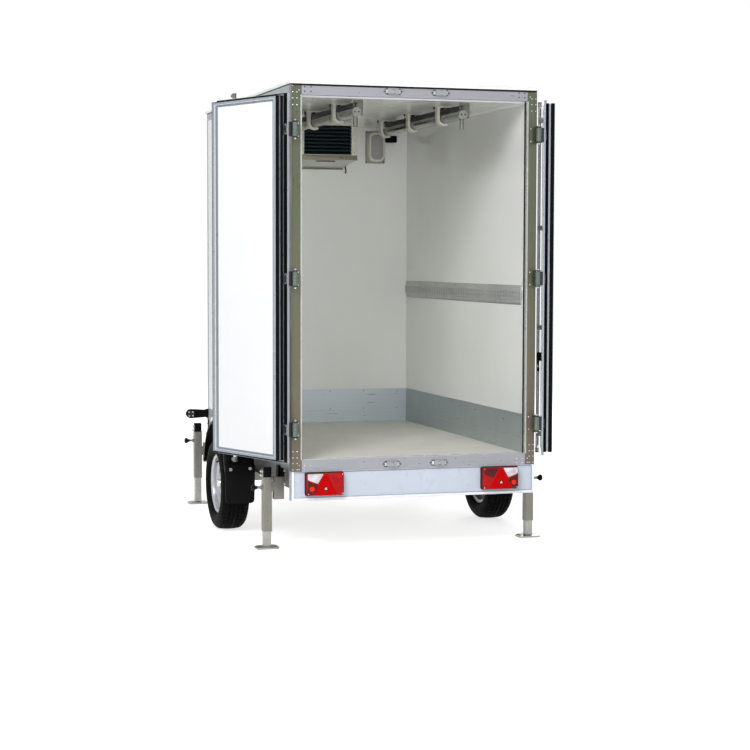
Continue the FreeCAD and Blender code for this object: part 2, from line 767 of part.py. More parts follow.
def make_axle():
    """Rubber-sprung axle tube with trailing swing arms, brake drums and stub hubs."""
    tube_y = AXLE_Y + AXLE_AHEAD
    half = AXLE_TUBE / 2
    z = AXLE_TUBE_Z
    parts = [box(-SWING_X, SWING_X, tube_y - half, tube_y + half, z - half, z + half)]
    for side in SIDES:
        x = side * (RAIL_OUT_X - RAIL_W)
        top = AXLE_SEAT_LEN / 2
        foot = AXLE_SEAT_FOOT / 2
        seat = [
            (x, tube_y - foot, z),
            (x, tube_y + foot, z),
            (x, tube_y + top, RAIL_LOW - 12),
            (x, tube_y + top, RAIL_LOW),
            (x, tube_y - top, RAIL_LOW),
            (x, tube_y - top, RAIL_LOW - 12),
        ]
        parts.append(sheet(seat, (side * RAIL_W, 0, 0)))
        start = side * SWING_X
        big = SWING_BIG_R
        small = SWING_SMALL_R
        arm = [
            (start, tube_y + big * 0.5, z + big * 0.87),
            (start, tube_y + big, z),
            (start, tube_y + big * 0.5, z - big * 0.87),
            (start, AXLE_Y - small * 0.5, TYRE_R - small * 0.87),
            (start, AXLE_Y - small, TYRE_R),
            (start, AXLE_Y - small * 0.5, TYRE_R + small * 0.87),
        ]
        parts.append(sheet(arm, (side * SWING_T, 0, 0)))
        drum_x = SWING_X + SWING_T
        stub_end = WHEEL_X + HAT_X + STUB_PAST
        drum = bar((drum_x, AXLE_Y, TYRE_R), "x", DRUM_R, DRUM_W, MID_SIDES)
        stub = bar((drum_x, AXLE_Y, TYRE_R), "x", HUB_BORE - FIT, stub_end - drum_x, MID_SIDES)
        hub = join(drum, stub)
        parts.append(hub if side > 0 else mirrored(hub))
    write("axle", join(*parts))


def make_wheels():
    """Tyres and steel rims, made at the middle of the axle line and moved out."""
    seat = SEAT_R + SEAT_GAP
    lip_x = RIM_W / 2 - RIM_LIP_T
    seat_x = lip_x - RIM_SLOPE
    half = [
        (seat, seat_x - 1),
        (RIM_LIP_R + 1, lip_x - 1),
        (BEAD_R, BEAD_X),
        (BULGE_R, TYRE_W / 2),
        (SHOULDER_R, SHOULDER_X),
        (TYRE_R, TREAD_HALF),
    ]
    tyre = turned(half + [(r, -x) for r, x in reversed(half)], ROUND_SIDES)
    end = RIM_W / 2
    inner = SEAT_R - RIM_WALL
    rim = turned(
        [
            (RIM_LIP_R, end),
            (RIM_LIP_R, lip_x),
            (SEAT_R, seat_x),
            (SEAT_R, -seat_x),
            (RIM_LIP_R, -lip_x),
            (RIM_LIP_R, -end),
            (inner, -end + RIM_LIP_T),
            (inner, DISC_X - DISC_T),
            (HAT_R, HAT_X - DISC_T),
            (HUB_BORE, HAT_X - DISC_T),
            (HUB_BORE, HAT_X),
            (HAT_R, HAT_X),
            (inner, DISC_X),
        ],
        ROUND_SIDES,
    )
    for k in range(VENT_COUNT):
        wide = VENT_W / 2
        vent = box(-20, 60, -wide, wide, VENT_IN_R, VENT_OUT_R)
        vent.rotate(V(0, 0, 0), V(1, 0, 0), 360.0 * k / VENT_COUNT)
        rim = rim.cut(vent)
    for shape, name in ((tyre, "tyre"), (rim, "rim")):
        right = shape.copy()
        right.translate(V(WHEEL_X, AXLE_Y, TYRE_R))
        write_pair(name, mirrored(right))


def make_mudguards():
    """Arched plastic guards with an inner skirt, an outer lip and a rubber flap."""
    centre_z = TYRE_R + GUARD_UP
    top = GUARD_R
    under = GUARD_R - GUARD_T
    inner = GUARD_IN_X
    outer = GUARD_OUT_X
    wall = GUARD_T
    bevel = GUARD_BEVEL
    outline = [
        (top - GUARD_SKIRT, inner),
        (top, inner),
        (top, outer - bevel),
        (top - bevel, outer),
        (top - GUARD_LIP, outer),
        (top - GUARD_LIP, outer - wall),
        (under - bevel, outer - wall),
        (under, outer - wall - bevel),
        (under, inner + wall),
        (top - GUARD_SKIRT, inner + wall),
    ]
    sweep = GUARD_REAR_DEG - GUARD_FRONT_DEG
    rings = []
    for k in range(GUARD_STEPS + 1):
        angle = math.radians(GUARD_FRONT_DEG + sweep * k / GUARD_STEPS)
        c = math.cos(angle)
        s = math.sin(angle)
        rings.append([V(x, AXLE_Y + r * c, centre_z + r * s) for r, x in outline])
    guard = skin(rings, False)
    rear_y = AXLE_Y - GUARD_R
    flap_top = FLAP_Z + FLAP_H
    cut = FLAP_CORNER
    y = rear_y - FLAP_T
    flap = [
        (inner + cut, y, FLAP_Z),
        (outer - cut, y, FLAP_Z),
        (outer, y, FLAP_Z + cut),
        (outer, y, flap_top),
        (inner, y, flap_top),
        (inner, y, FLAP_Z + cut),
    ]
    seat_end = rear_y + GUARD_T * 3
    seat = box(inner, outer, y, seat_end, flap_top - FLAP_SEAT_H, flap_top)
    lug_z = centre_z + GUARD_R * 0.6
    half = LUG_W / 2
    tall = LUG_H / 2
    parts = [guard, sheet(flap, (0, FLAP_T, 0)), seat]
    for s in SIDES:
        lug_y = AXLE_Y + s * GUARD_R * 0.68
        parts.append(box(SKIN_X, inner + 1, lug_y - half, lug_y + half, lug_z - tall, lug_z + tall))
    write("mudguards", both(join(*parts)))


def make_knob(x, y, z):
    """A ball knob on a stem that points away from the trailer on the left."""
    end = x - KNOB_REACH
    stations = ((0.0, 0.45), (0.3, 0.95), (0.7, 0.95), (1.0, 0.45))
    rings = []
    for share, size in stations:
        at = end + share * KNOB_LEN
        rings.append([V(at, y + a, z + b) for a, b in ring_points(8, KNOB_R * size)])
    return skin(rings, False)


def make_legs():
    """Support legs: square sleeves with cap, knob and bracket, and square legs with a foot."""
    sleeves = []
    for y, low, place in zip(LEG_Y, SLEEVE_Z, ("rear", "front")):
        half = SLEEVE_SIDE / 2
        top = low + SLEEVE_LEN
        cap_z = top - SLEEVE_CAP_H
        sleeve = box(-LEG_X - half, -LEG_X + half, y - half, y + half, low, cap_z)
        room = half - SLEEVE_WALL
        sleeve = sleeve.cut(box(-LEG_X - room, -LEG_X + room, y - room, y + room, low - 1, cap_z))
        inset = half - SLEEVE_CAP_IN
        cap = box(-LEG_X - inset, -LEG_X + inset, y - inset, y + inset, cap_z, top)
        knob_z = low + KNOB_UP
        stem_len = KNOB_REACH - half - KNOB_LEN / 2
        stem = bar((-LEG_X - half - stem_len, y, knob_z), "x", KNOB_STEM_R, stem_len, 8)
        arm_low = FLOOR_UNDER - LEG_ARM_LOW
        arm_high = FLOOR_UNDER - LEG_ARM_HIGH
        wide = LEG_ARM_HALF
        skirt = -HALF_W - LEG_PAD_OUT
        arm = box(-LEG_X + half, -RAIL_OUT_X - LEG_PLATE_T, y - wide, y + wide, max(arm_low, low), arm_high)
        plate_low = RAIL_LOW + RAIL_T
        plate_high = FLOOR_UNDER - RAIL_T
        tall = LEG_PLATE_HALF
        plate = box(-RAIL_OUT_X - LEG_PLATE_T, -RAIL_OUT_X, y - tall, y + tall, plate_low, plate_high)
        pad = box(skirt, -RAIL_OUT_X - LEG_PLATE_T, y - wide, y + wide, arm_high, FLOOR_UNDER - FIT)
        ear = box(skirt, -HALF_W - FIT, y - wide, y + wide, arm_high, FLOOR_UNDER + LEG_PAD_UP)
        sleeves.append(join(sleeve, cap, stem, make_knob(-LEG_X, y, knob_z), arm, plate, pad, ear))
        side = LEG_SIDE / 2
        hollow = side - LEG_WALL
        z0 = FOOT_RISE
        leg = box(-LEG_X - side, -LEG_X + side, y - side, y + side, z0, z0 + LEG_UP)
        leg = leg.cut(box(-LEG_X - hollow, -LEG_X + hollow, y - hollow, y + hollow, z0 + FOOT_T, z0 + LEG_UP + 1))
        wide = FOOT_W / 2
        deep = FOOT_D / 2
        foot = box(-LEG_X - wide, -LEG_X + wide, y - deep, y + deep, 0, FOOT_RISE + FOOT_T)
        wide -= FOOT_T
        deep -= FOOT_T
        under = box(-LEG_X - wide, -LEG_X + wide, y - deep, y + deep, -1, FOOT_RISE)
        write_pair(f"leg_foot_{place}", join(foot.cut(under), leg))
    write("leg_sleeves", Part.makeCompound(sleeves + [mirrored(s) for s in sleeves]))


def make_hitch():
    """Overrun hitch: body between the arms, gaiter, coupling head and brake lever."""
    z = COUPLING_Z
    front = ARM_FRONT_Y
    inner = ARM_FRONT_X - ARM_W / 2 - FIT
    plate_x = ARM_FRONT_X + HITCH_PLATE_SIDE
    plate_top = ARM_TOP + HITCH_PLATE_T
    plate = box(-plate_x, plate_x, front - HITCH_BACK, front, ARM_TOP, plate_top)
    nose_y = front + HITCH_BODY_PAST
    body = box(-inner, inner, front - HITCH_BACK, nose_y, ARM_TOP - HITCH_BODY_H, plate_top)
    rings = []
    folds = 2 * GAITER_FOLDS + 1
    for k in range(folds):
        y = nose_y + GAITER_LEN * k / (folds - 1)
        pairs = ring_points(SMALL_SIDES, GAITER_R[k % 2])
        rings.append([V(a, y, z + b) for a, b in pairs])
    gaiter = skin(rings, False)
    shaft = bar((0, nose_y, z), "y", SHAFT_R, COUPLING_Y - HEAD_BACK - nose_y + 10)
    wide = HEAD_W
    low = z - HEAD_DOWN
    top = z + HEAD_UP
    back = COUPLING_Y - HEAD_BACK
    head = [
        (-wide * 0.7, back, low),
        (wide * 0.7, back, low),
        (wide, COUPLING_Y - wide, low),
        (wide, COUPLING_Y + wide * 0.3, low),
        (wide * 0.5, NOSE_Y, low),
        (-wide * 0.5, NOSE_Y, low),
        (-wide, COUPLING_Y + wide * 0.3, low),
        (-wide, COUPLING_Y - wide, low),
    ]
    head = sheet(head, (0, 0, top - low))
    slope = sheet(
        [
            (-wide - 1, COUPLING_Y + wide * 0.3, top + 1),
            (-wide - 1, NOSE_Y + 1, top + 1),
            (-wide - 1, NOSE_Y + 1, z),
        ],
        (2 * wide + 2, 0, 0),
    )
    socket = rod((0, COUPLING_Y, low - 1), (0, 0, 1), BALL_R, BALL_BORE + 1)
    grip = [
        (-9, COUPLING_Y, top - 1),
        (-9, COUPLING_Y + 8, top + 30),
        (-9, COUPLING_Y - HEAD_BACK, top + 44),
        (-9, COUPLING_Y - HEAD_BACK, top + 30),
        (-9, COUPLING_Y - 22, top + 18),
        (-9, COUPLING_Y - 26, top - 1),
    ]
    lever_y = front - HITCH_BACK * 0.4
    x = BRAKE_X
    foot = box(x - 4, x + BRAKE_T + 4, lever_y - 34, lever_y + 34, plate_top - 1, plate_top + 44)
    lever = [
        (x, lever_y - 14, plate_top + 20),
        (x, lever_y + 16, plate_top + 20),
        (x, lever_y - BRAKE_LEN * 0.42, plate_top + BRAKE_LEN),
        (x, lever_y - BRAKE_LEN * 0.5, plate_top + BRAKE_LEN * 0.97),
    ]
    hitch = join(
        plate,
        body,
        gaiter,
        shaft,
        head.cut(slope).cut(socket),
        sheet(grip, (18, 0, 0)),
        foot,
        sheet(lever, (BRAKE_T, 0, 0)),
    )
    write("overrun_hitch", hitch)


def make_jockey():
    """Jockey wheel: clamped tube with crank, sliding stem, swivelling fork and wheel."""
    x = JOCKEY_X
    y = COUPLING_Y - JOCKEY_BACK
    z = ARM_TOP - JOCKEY_TUBE_DROP
    top = z + JOCKEY_TUBE_LEN
    bore = bar((x, y, 0), "z", JOCKEY_R - JOCKEY_WALL, top, MID_SIDES)
    tube = bar((x, y, z), "z", JOCKEY_R, JOCKEY_TUBE_LEN + JOCKEY_CAP, MID_SIDES)
    top += JOCKEY_CAP
    crank = bar((x, y, top), "z", CRANK_R, CRANK_UP)
    arm_top = top + CRANK_UP
    arm = box(x - CRANK_R, x + CRANK_LEN, y - CRANK_R, y + CRANK_R, arm_top - 8, arm_top)
    grip_x = x + CRANK_LEN - CRANK_GRIP_R
    grip = bar((grip_x, y, arm_top), "z", CRANK_GRIP_R, CRANK_GRIP_LEN)
    run = ARM_FRONT_Y - ARM_BACK_Y
    arm_x = ARM_BACK_X + (ARM_FRONT_X - ARM_BACK_X) * (y - ARM_BACK_Y) / run
    clamp = box(arm_x - ARM_W / 4, x, y - 30, y + 30, ARM_TOP, ARM_TOP + JOCKEY_CAP)
    outer = JOCKEY_R + COLLAR_T
    collar = bar((x, y, ARM_TOP - COLLAR_H * 0.4), "z", outer, COLLAR_H, MID_SIDES)
    screw_z = ARM_TOP + COLLAR_H * 0.35
    screw = bar((x, y - outer - 40, screw_z), "y", CRANK_R, 50, 8)
    tommy = box(x - 36, x + 36, y - outer - 46, y - outer - 36, screw_z - 5, screw_z + 5)
    parts = join(tube, crank, arm, grip, clamp, collar, screw, tommy)
    write("jockey_tube", parts.cut(bore))

    fork_top = 2 * JOCKEY_WHEEL_R + FORK_OVER
    stem = bar((x, y, fork_top + FIT), "z", JOCKEY_STEM_R, JOCKEY_STEM_LEN, MID_SIDES)
    write("jockey_stem", stem)
    wheel_y = y - JOCKEY_TRAIL
    half = JOCKEY_WHEEL_W / 2 + FORK_SIDE_GAP
    out = half + FORK_T
    parts = [box(x - out, x + out, wheel_y - 15, y + 25, fork_top - FORK_T, fork_top)]
    for side in SIDES:
        x0 = x + side * half
        leg = [
            (x0, wheel_y - 8, JOCKEY_WHEEL_R - 17),
            (x0, wheel_y + 8, JOCKEY_WHEEL_R - 17),
            (x0, wheel_y + 17, JOCKEY_WHEEL_R),
            (x0, y + 25, fork_top),
            (x0, wheel_y - 15, fork_top),
            (x0, wheel_y - 17, JOCKEY_WHEEL_R),
        ]
        parts.append(sheet(leg, (side * FORK_T, 0, 0)))
    pin_x = x - out - FORK_SIDE_GAP
    pin_len = 2 * (out + FORK_SIDE_GAP)
    parts.append(bar((pin_x, wheel_y, JOCKEY_WHEEL_R), "x", JOCKEY_BORE - FIT, pin_len))
    write("jockey_fork", join(*parts))
    hub_x = JOCKEY_WHEEL_W / 2 + FORK_SIDE_GAP / 2
    profile = [
        (JOCKEY_BORE, hub_x),
        (JOCKEY_BORE * 3, hub_x),
        (JOCKEY_BORE * 3, JOCKEY_WEB_T / 2),
        (JOCKEY_WEB_R, JOCKEY_WEB_T / 2),
        (JOCKEY_WEB_R + 6, JOCKEY_WHEEL_W / 2),
        (JOCKEY_WHEEL_R, JOCKEY_WHEEL_W / 4),
    ]
    wheel = turned(profile + [(r, -a) for r, a in reversed(profile)], MID_SIDES)
    wheel.translate(V(x, wheel_y, JOCKEY_WHEEL_R))
    write("jockey_wheel", wheel)


def make_wall_gear():
    """Kick plates, lashing rails and the bulkhead lamp with its sensor."""
    x = INSIDE_X
    low = FLOOR_TOP - DECK_T
    line = FLOOR_TOP + KICK_LINE
    thin = KICK_T * 0.6
    pieces = []
    for z0, z1, wall in ((low, line, KICK_T), (line, FLOOR_TOP + KICK_H, thin)):
        end = FRONT_IN_Y - wall
        side = box(-x, -x + wall, FRAME_DEPTH, end, z0, z1)
        pieces += [side, mirrored(side), box(-x, x, end, FRONT_IN_Y, z0, z1)]
    write("kick_plates", join(*pieces))
    plate = LASH_PLATE_T
    flange = LASH_FLANGE
    step = LASH_OUT - plate
    z = FLOOR_TOP + LASH_UP
    outline = [
        (0, 0),
        (plate, 0),
        (plate, flange),
        (LASH_OUT, flange + step),
        (LASH_OUT, LASH_H - flange - step),
        (plate, LASH_H - flange),
        (plate, LASH_H),
        (0, LASH_H),
        (0, LASH_H - flange - plate),
        (step, LASH_H - flange - plate - step),
        (step, flange + plate + step),
        (0, flange + plate),
    ]
    rail = sheet([(-x + a, LASH_START, z + b) for a, b in outline], (0, FRONT_IN_Y - LASH_START, 0))
    write("lashing_rails", both(rail))
    wide, tall, thick = LAMP_PLATE
    z = CEILING - LAMP_DROP
    y = FRONT_IN_Y
    plate = box(LAMP_X - wide / 2, LAMP_X + wide / 2, y - thick, y, z - tall / 2, z + tall / 2)
    wide, tall, deep = LAMP_LENS
    oval = [(LAMP_X + a * wide / 2, y - thick, z + b * tall / 2) for a, b in ring_points(24, 1.0)]
    lens = sheet(oval, (0, -deep, 0))
    face = y - thick - deep
    inner = [(LAMP_X + a * wide / 3, face, z + b * tall / 2.6) for a, b in ring_points(24, 1.0)]
    lens = lens.cut(sheet(inner, (0, 8, 0)))
    low = CEILING - SENSOR_DROP[0]
    high = CEILING - SENSOR_DROP[1]
    sensor = box(SENSOR[0], SENSOR[1], y - SENSOR_T, y, low, high)
    write("interior_lamp", Part.makeCompound([join(plate, lens), sensor]))


def make_hanger(x, y):
    """A hooked strap from the ceiling down the left of the rail and under it, with its block."""
    z = CEILING - MEAT_DROP
    inner = MEAT_R + HANGER_GAP
    outer = inner + HANGER_T
    angles = [math.radians(180 + 30 * k) for k in range(5)]
    outline = [(-outer, MEAT_DROP), (-inner, MEAT_DROP)]
    outline += [(inner * math.cos(a), inner * math.sin(a)) for a in angles]
    outline += [(outer * math.cos(a), outer * math.sin(a)) for a in reversed(angles)]
    strap = sheet([(x + a, y - HANGER_HALF, z + b) for a, b in outline], (0, 2 * HANGER_HALF, 0))
    block = HANGER_BLOCK
    low = z - inner - HANGER_T / 2
    seat = box(x - block, x + block, y - block, y + block, low, z - MEAT_R * 0.9)
    wide, deep, thick = HANGER_PLATE
    plate = box(x - wide - HANGER_T, x + wide, y - deep, y + deep, CEILING - thick, CEILING)
    return [strap, seat, plate]


def make_meat_rails():
    """Two round hanging rails under the ceiling, each on hooked hangers."""
    z = CEILING - MEAT_DROP
    end = FRONT_IN_Y - EVAP_DEPTH - MEAT_END_GAP
    first = MEAT_START + HANGER_FIRST
    step = (end - HANGER_LAST - first) / (HANGERS - 1)
    rails = []
    for side in SIDES:
        x = side * MEAT_X
        parts = [bar((x, MEAT_START, z), "y", MEAT_R, end - MEAT_START, MID_SIDES)]
        y = MEAT_START + PEG_IN
        low = z - MEAT_R - PEG_LEN
        parts.append(bar((x, y, low), "z", PEG_R, PEG_LEN + MEAT_R))
        left, right, thick = MEAT_END_PLATE
        parts.append(box(x - left, x + right, y, y + thick, z - MEAT_R * 0.7, CEILING))
        for k in range(HANGERS):
            parts += make_hanger(x, first + step * k)
        rails.append(join(*parts))
    write("meat_rails", Part.makeCompound(rails))


def make_cooling():
    """Evaporator under the ceiling and the condensing unit on the front wall."""
    back = FRONT_IN_Y
    front = FRONT_IN_Y - EVAP_DEPTH
    half = EVAP_W / 2
    low = CEILING - EVAP_FRONT_DROP
    rear_low = CEILING - EVAP_BACK_DROP
    case = sheet(
        [
            (-half, front, CEILING),
            (-half, back, CEILING),
            (-half, back, rear_low),
            (-half, front + EVAP_SIDE, low),
            (-half, front, low),
        ],
        (EVAP_W, 0, 0),
    )
    inner = half - EVAP_SIDE
    grille_low = low + EVAP_STRIP_H
    grille_high = CEILING - EVAP_TOP
    case = case.cut(box(-inner, inner, front - 1, front + SLAT_DEEP, grille_low, grille_high))
    parts = [case]
    pitch = (grille_high - grille_low) / SLATS
    for k in range(SLATS):
        z = grille_low + pitch * (k + 0.3)
        drop = pitch * 0.6
        slat = [
            (-inner, front + SLAT_T, z),
            (-inner, front + SLAT_T, z + SLAT_T),
            (-inner, front + SLAT_DEEP, z + SLAT_T + drop),
            (-inner, front + SLAT_DEEP, z + drop),
        ]
        parts.append(sheet(slat, (2 * inner, 0, 0)))
    parts.append(box(-half, half, front - EVAP_STRIP_T, front, low, low + EVAP_STRIP_H * 0.9))
    drain_y = back - EVAP_SIDE
    parts.append(box(half, half + 22, drain_y - 8, drain_y + 8, low - 10, low + 10))
    parts.append(bar((half + 16, drain_y, low - 80), "z", 8.0, 76, 8))
    write("evaporator", join(*parts))

    front = SKIN_Y + UNIT_D
    half = UNIT_W / 2
    high = CEILING - UNIT_DROP
    low = high - UNIT_H
    cut = UNIT_BEVEL
    unit = sheet(
        [
            (-half, SKIN_Y, low),
            (half, SKIN_Y, low),
            (half, front - cut, low),
            (half - cut, front, low),
            (-half + cut, front, low),
            (-half, front - cut, low),
        ],
        (0, 0, UNIT_H),
    )
    slope = [
        (-half - 1, front + 1, high + 1),
        (-half - 1, front - 2 * cut, high + 1),
        (-half - 1, front + 1, high - 2 * cut),
    ]
    unit = unit.cut(sheet(slope, (UNIT_W + 2, 0, 0)))
    z = (low + high - cut) / 2
    fan_y = front - FAN_DEEP
    unit = unit.cut(bar((0, fan_y, z), "y", FAN_R, FAN_DEEP + 1, MID_SIDES))
    for side in SIDES:
        x = side * (half - LOUVRE_DEEP)
        for k in range(LOUVRES):
            z0 = low + 110 + LOUVRE_PITCH * k
            y0 = SKIN_Y + 50
            unit = unit.cut(box(x, side * (half + 1), y0, y0 + LOUVRE_LEN, z0, z0 + LOUVRE_H))
    hub = bar((0, fan_y, z), "y", FAN_HUB_R, FAN_DEEP * 0.7, SMALL_SIDES)
    blades = []
    for k in range(FAN_BLADES):
        y = fan_y + FAN_DEEP * 0.35
        wide = BLADE_W / 2
        blade = box(-wide, wide, y, y + BLADE_T, z + FAN_HUB_R * 0.7, z + FAN_R - 12)
        blade.rotate(V(0, y, z), V(0, 0, 1), 24)
        blade.rotate(V(0, y, z), V(0, 1, 0), 360.0 * k / FAN_BLADES)
        blades.append(blade)
    write("condensing_unit", join(unit, hub, *blades))


def make_markers():
    """Rubber arms with outline lamps at the front corners, and their cable down the corner."""
    y = BODY_LEN - MARKER_BACK
    z = FLOOR_UNDER + MARKER_UP
    tall = MARKER_H / 2
    end = HALF_W + MARKER_REACH
    neck = HALF_W + MARKER_BASE
    outline = [
        (HALF_W, tall),
        (neck, tall * 0.8),
        (end - tall, tall),
        (end - tall * 0.3, tall * 0.7),
        (end, 0),
        (end - tall * 0.3, -tall * 0.7),
        (end - tall, -tall),
        (neck, -tall * 0.8),
        (HALF_W, -tall),
    ]
    y0 = y - MARKER_T / 2
    arm = sheet([(a, y0, z + b) for a, b in outline], (0, MARKER_T, 0))
    base = box(HALF_W, HALF_W + 10, y0 - 6, y0, z - tall, z + tall)
    low = FLOOR_UNDER + LEG_PAD_UP + CABLE_R
    cable = bar((HALF_W + CABLE_R, y0 + CABLE_R, low), "z", CABLE_R, z - tall - low + 2, 6)
    lamps = []
    for k in SIDES:
        x = end - tall
        lamps.append(bar((x + k * 9, y0 - 5, z - k * 9), "y", 9.0, 6, 8))
    write("marker_lamps", both(join(arm, base, cable, *lamps)))


make_body()
make_edge_profiles()
make_rear_frame()
make_tail_lamps()
make_doors()
make_chassis()
make_axle()
make_wheels()
make_mudguards()
make_legs()
make_hitch()
make_jockey()
make_wall_gear()
make_meat_rails()
make_cooling()
make_markers()
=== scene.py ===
"""The looks of a single-axle refrigerated box trailer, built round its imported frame.

Sizes are in millimetres in the maker's own frame: X to the right, Y forward from the rear frame's
face and Z up from the ground. Each finished piece is moved once to the shared frame in metres.
"""

import json
import logging
import math
from collections.abc import Sequence
from dataclasses import dataclass
from enum import Enum

import bmesh
import bpy
import numpy as np
from mathutils import Matrix, Vector

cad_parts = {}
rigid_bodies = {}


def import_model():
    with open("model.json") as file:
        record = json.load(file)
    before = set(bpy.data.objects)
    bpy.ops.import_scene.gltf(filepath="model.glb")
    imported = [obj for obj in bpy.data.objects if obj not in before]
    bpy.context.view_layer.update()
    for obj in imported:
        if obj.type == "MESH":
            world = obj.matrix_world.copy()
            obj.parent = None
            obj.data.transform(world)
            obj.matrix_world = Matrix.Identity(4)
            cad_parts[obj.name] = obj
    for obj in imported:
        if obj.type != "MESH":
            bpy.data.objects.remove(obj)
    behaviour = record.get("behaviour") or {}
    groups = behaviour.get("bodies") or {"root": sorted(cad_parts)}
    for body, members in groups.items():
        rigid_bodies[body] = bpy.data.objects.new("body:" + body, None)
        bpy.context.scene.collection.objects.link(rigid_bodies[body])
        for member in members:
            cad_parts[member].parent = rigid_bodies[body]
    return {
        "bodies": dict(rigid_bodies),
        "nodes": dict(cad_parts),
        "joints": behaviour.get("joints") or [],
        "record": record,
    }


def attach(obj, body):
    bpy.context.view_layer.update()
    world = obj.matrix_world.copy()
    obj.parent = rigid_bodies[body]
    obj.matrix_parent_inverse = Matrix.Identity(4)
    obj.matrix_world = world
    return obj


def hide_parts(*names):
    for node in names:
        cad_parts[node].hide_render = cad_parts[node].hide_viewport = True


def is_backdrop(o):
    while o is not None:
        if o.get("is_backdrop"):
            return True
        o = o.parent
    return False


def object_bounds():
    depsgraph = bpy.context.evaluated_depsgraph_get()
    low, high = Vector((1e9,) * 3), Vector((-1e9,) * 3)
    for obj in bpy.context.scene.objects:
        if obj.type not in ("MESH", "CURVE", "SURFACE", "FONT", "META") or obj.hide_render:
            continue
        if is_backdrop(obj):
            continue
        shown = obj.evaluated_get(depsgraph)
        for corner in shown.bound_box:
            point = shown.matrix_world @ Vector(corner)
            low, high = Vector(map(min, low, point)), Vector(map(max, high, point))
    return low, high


LOG = logging.getLogger("trailer")

# The shared frame's origin along Y, and how far the doors stand open at rest.
MIDDLE_Y = 1869.65
DOOR_OPEN = math.radians(-248.6)
# The left hinge pin in X and Y, and where a leaf's outer skin lies behind its pin.
PIN = (-766.5, -51.7)
LEAF_FACE = 31.7
SIDES = (("left", -1), ("right", 1))
Colour = tuple[float, float, float]
Socket = bpy.types.NodeSocket


class Axis(Enum):
    """The direction a shape runs in."""

    X = 0
    Y = 1
    Z = 2

    def others(self) -> list[int]:
        """The two other axes' numbers, in order."""
        return [k for k in range(3) if k != self.value]


@dataclass(frozen=True)
class Shape:
    """A surface: corner points, n by 3, and groups of faces with as many corners each."""

    points: np.ndarray
    faces: tuple[np.ndarray, ...]

    def __add__(self, other: "Shape") -> "Shape":
        """Both surfaces as one."""
        return union([self, other])

    def moved(self, x: float = 0.0, y: float = 0.0, z: float = 0.0) -> "Shape":
        """The shape shifted by a distance along each axis."""
        return Shape(self.points + (x, y, z), self.faces)

    def mirrored(self) -> "Shape":
        """The shape's mirror image across the trailer's middle, with its faces turned back out."""
        return Shape(self.points * (-1, 1, 1), tuple(group[:, ::-1] for group in self.faces))

    def both(self) -> "Shape":
        """The shape and its mirror image."""
        return self + self.mirrored()

    def on(self, side: int) -> "Shape":
        """The shape, drawn on the left, for the left side (-1) or the right side (1)."""
        return self if side < 0 else self.mirrored()

    def turned(self, axis: Axis, degrees: float, about: Sequence[float] = (0, 0, 0)) -> "Shape":
        """The shape turned about a line along an axis: each point times a rotation matrix.

        Args:
            axis: the direction of the line.
            degrees: the turn, anticlockwise seen from the axis's far end.
            about: a point on the line.

        Returns:
            The turned shape.
        """
        direction = Vector([float(k == axis.value) for k in range(3)])
        matrix = np.array(Matrix.Rotation(math.radians(degrees), 3, direction))
        centre = np.asarray(about, float)
        return Shape((self.points - centre) @ matrix.T + centre, self.faces)

    def repeated(self, places: Sequence[Sequence[float]]) -> "Shape":
        """A copy of the shape at each place: points plus place, for all places at once.

        Args:
            places: the shift of each copy.

        Returns:
            All copies as one shape.
        """
        spots = np.asarray(places, float).reshape(-1, 3)
        count = len(self.points)
        points = (self.points[None] + spots[:, None]).reshape(-1, 3)
        step = np.arange(len(spots))[:, None, None] * count
        groups = tuple((g[None] + step).reshape(-1, g.shape[1]) for g in self.faces)
        return Shape(points, groups)

    def without(self, marked: np.ndarray) -> "Shape":
        """The shape less the faces whose corners are all marked."""
        return Shape(self.points, tuple(g[~marked[g].all(axis=1)] for g in self.faces))

    def hung(self, side: int) -> "Shape":
        """A closed door's piece swung open about its pin.

        X is measured from the pin along the leaf, and Y from the leaf's outer face towards the load
        space. The leaf's offset from the pin is added to Y, both turn about the pin by the door's
        angle, and the pin's place is added.

        Args:
            side: -1 for the left door and 1 for the right one.

        Returns:
            The piece on the open door.
        """
        along, deep, up = self.points.T
        deep = deep + LEAF_FACE
        cos, sin = math.cos(DOOR_OPEN), math.sin(DOOR_OPEN)
        x = PIN[0] + along * cos - deep * sin
        y = PIN[1] + along * sin + deep * cos
        return Shape(np.stack([x, y, up], -1), self.faces).on(side)


def union(shapes: Sequence[Shape]) -> Shape:
    """Several surfaces as one: points end to end, face numbers raised by the points before.

    Args:
        shapes: the shapes to put together.

    Returns:
        The one shape.
    """
    starts = np.cumsum([0] + [len(shape.points) for shape in shapes])
    faces = [group + start for shape, start in zip(shapes, starts) for group in shape.faces]
    return Shape(np.concatenate([shape.points for shape in shapes]), tuple(faces))


def lattice(
    grid: np.ndarray, wrap_u: bool = False, wrap_v: bool = False, caps: bool = False
) -> Shape:
    """Quads between neighbouring points of a grid.

    Point (i, j) has number i times the columns plus j; a face joins it to (i, j+1), (i+1, j+1)
    and (i+1, j), counted round the end where a direction wraps.

    Args:
        grid: rows by columns by 3.
        wrap_u: join the last row to the first.
        wrap_v: join the last column to the first.
        caps: close the first and the last row with one face each.

    Returns:
        The surface.
    """
    rows, columns = grid.shape[:2]
    i = np.arange(rows if wrap_u else rows - 1)[:, None]
    j = np.arange(columns if wrap_v else columns - 1)[None, :]
    here, there = i * columns, (i + 1) % rows * columns
    across = (j + 1) % columns
    corners = np.broadcast_arrays(here + j, here + across, there + across, there + j)
    faces = [np.stack(corners, -1).reshape(-1, 4)]
    if caps:
        ring = np.arange(columns)[None]
        faces += [ring[:, ::-1], ring + (rows - 1) * columns]
    return Shape(grid.reshape(-1, 3).astype(float), tuple(faces))


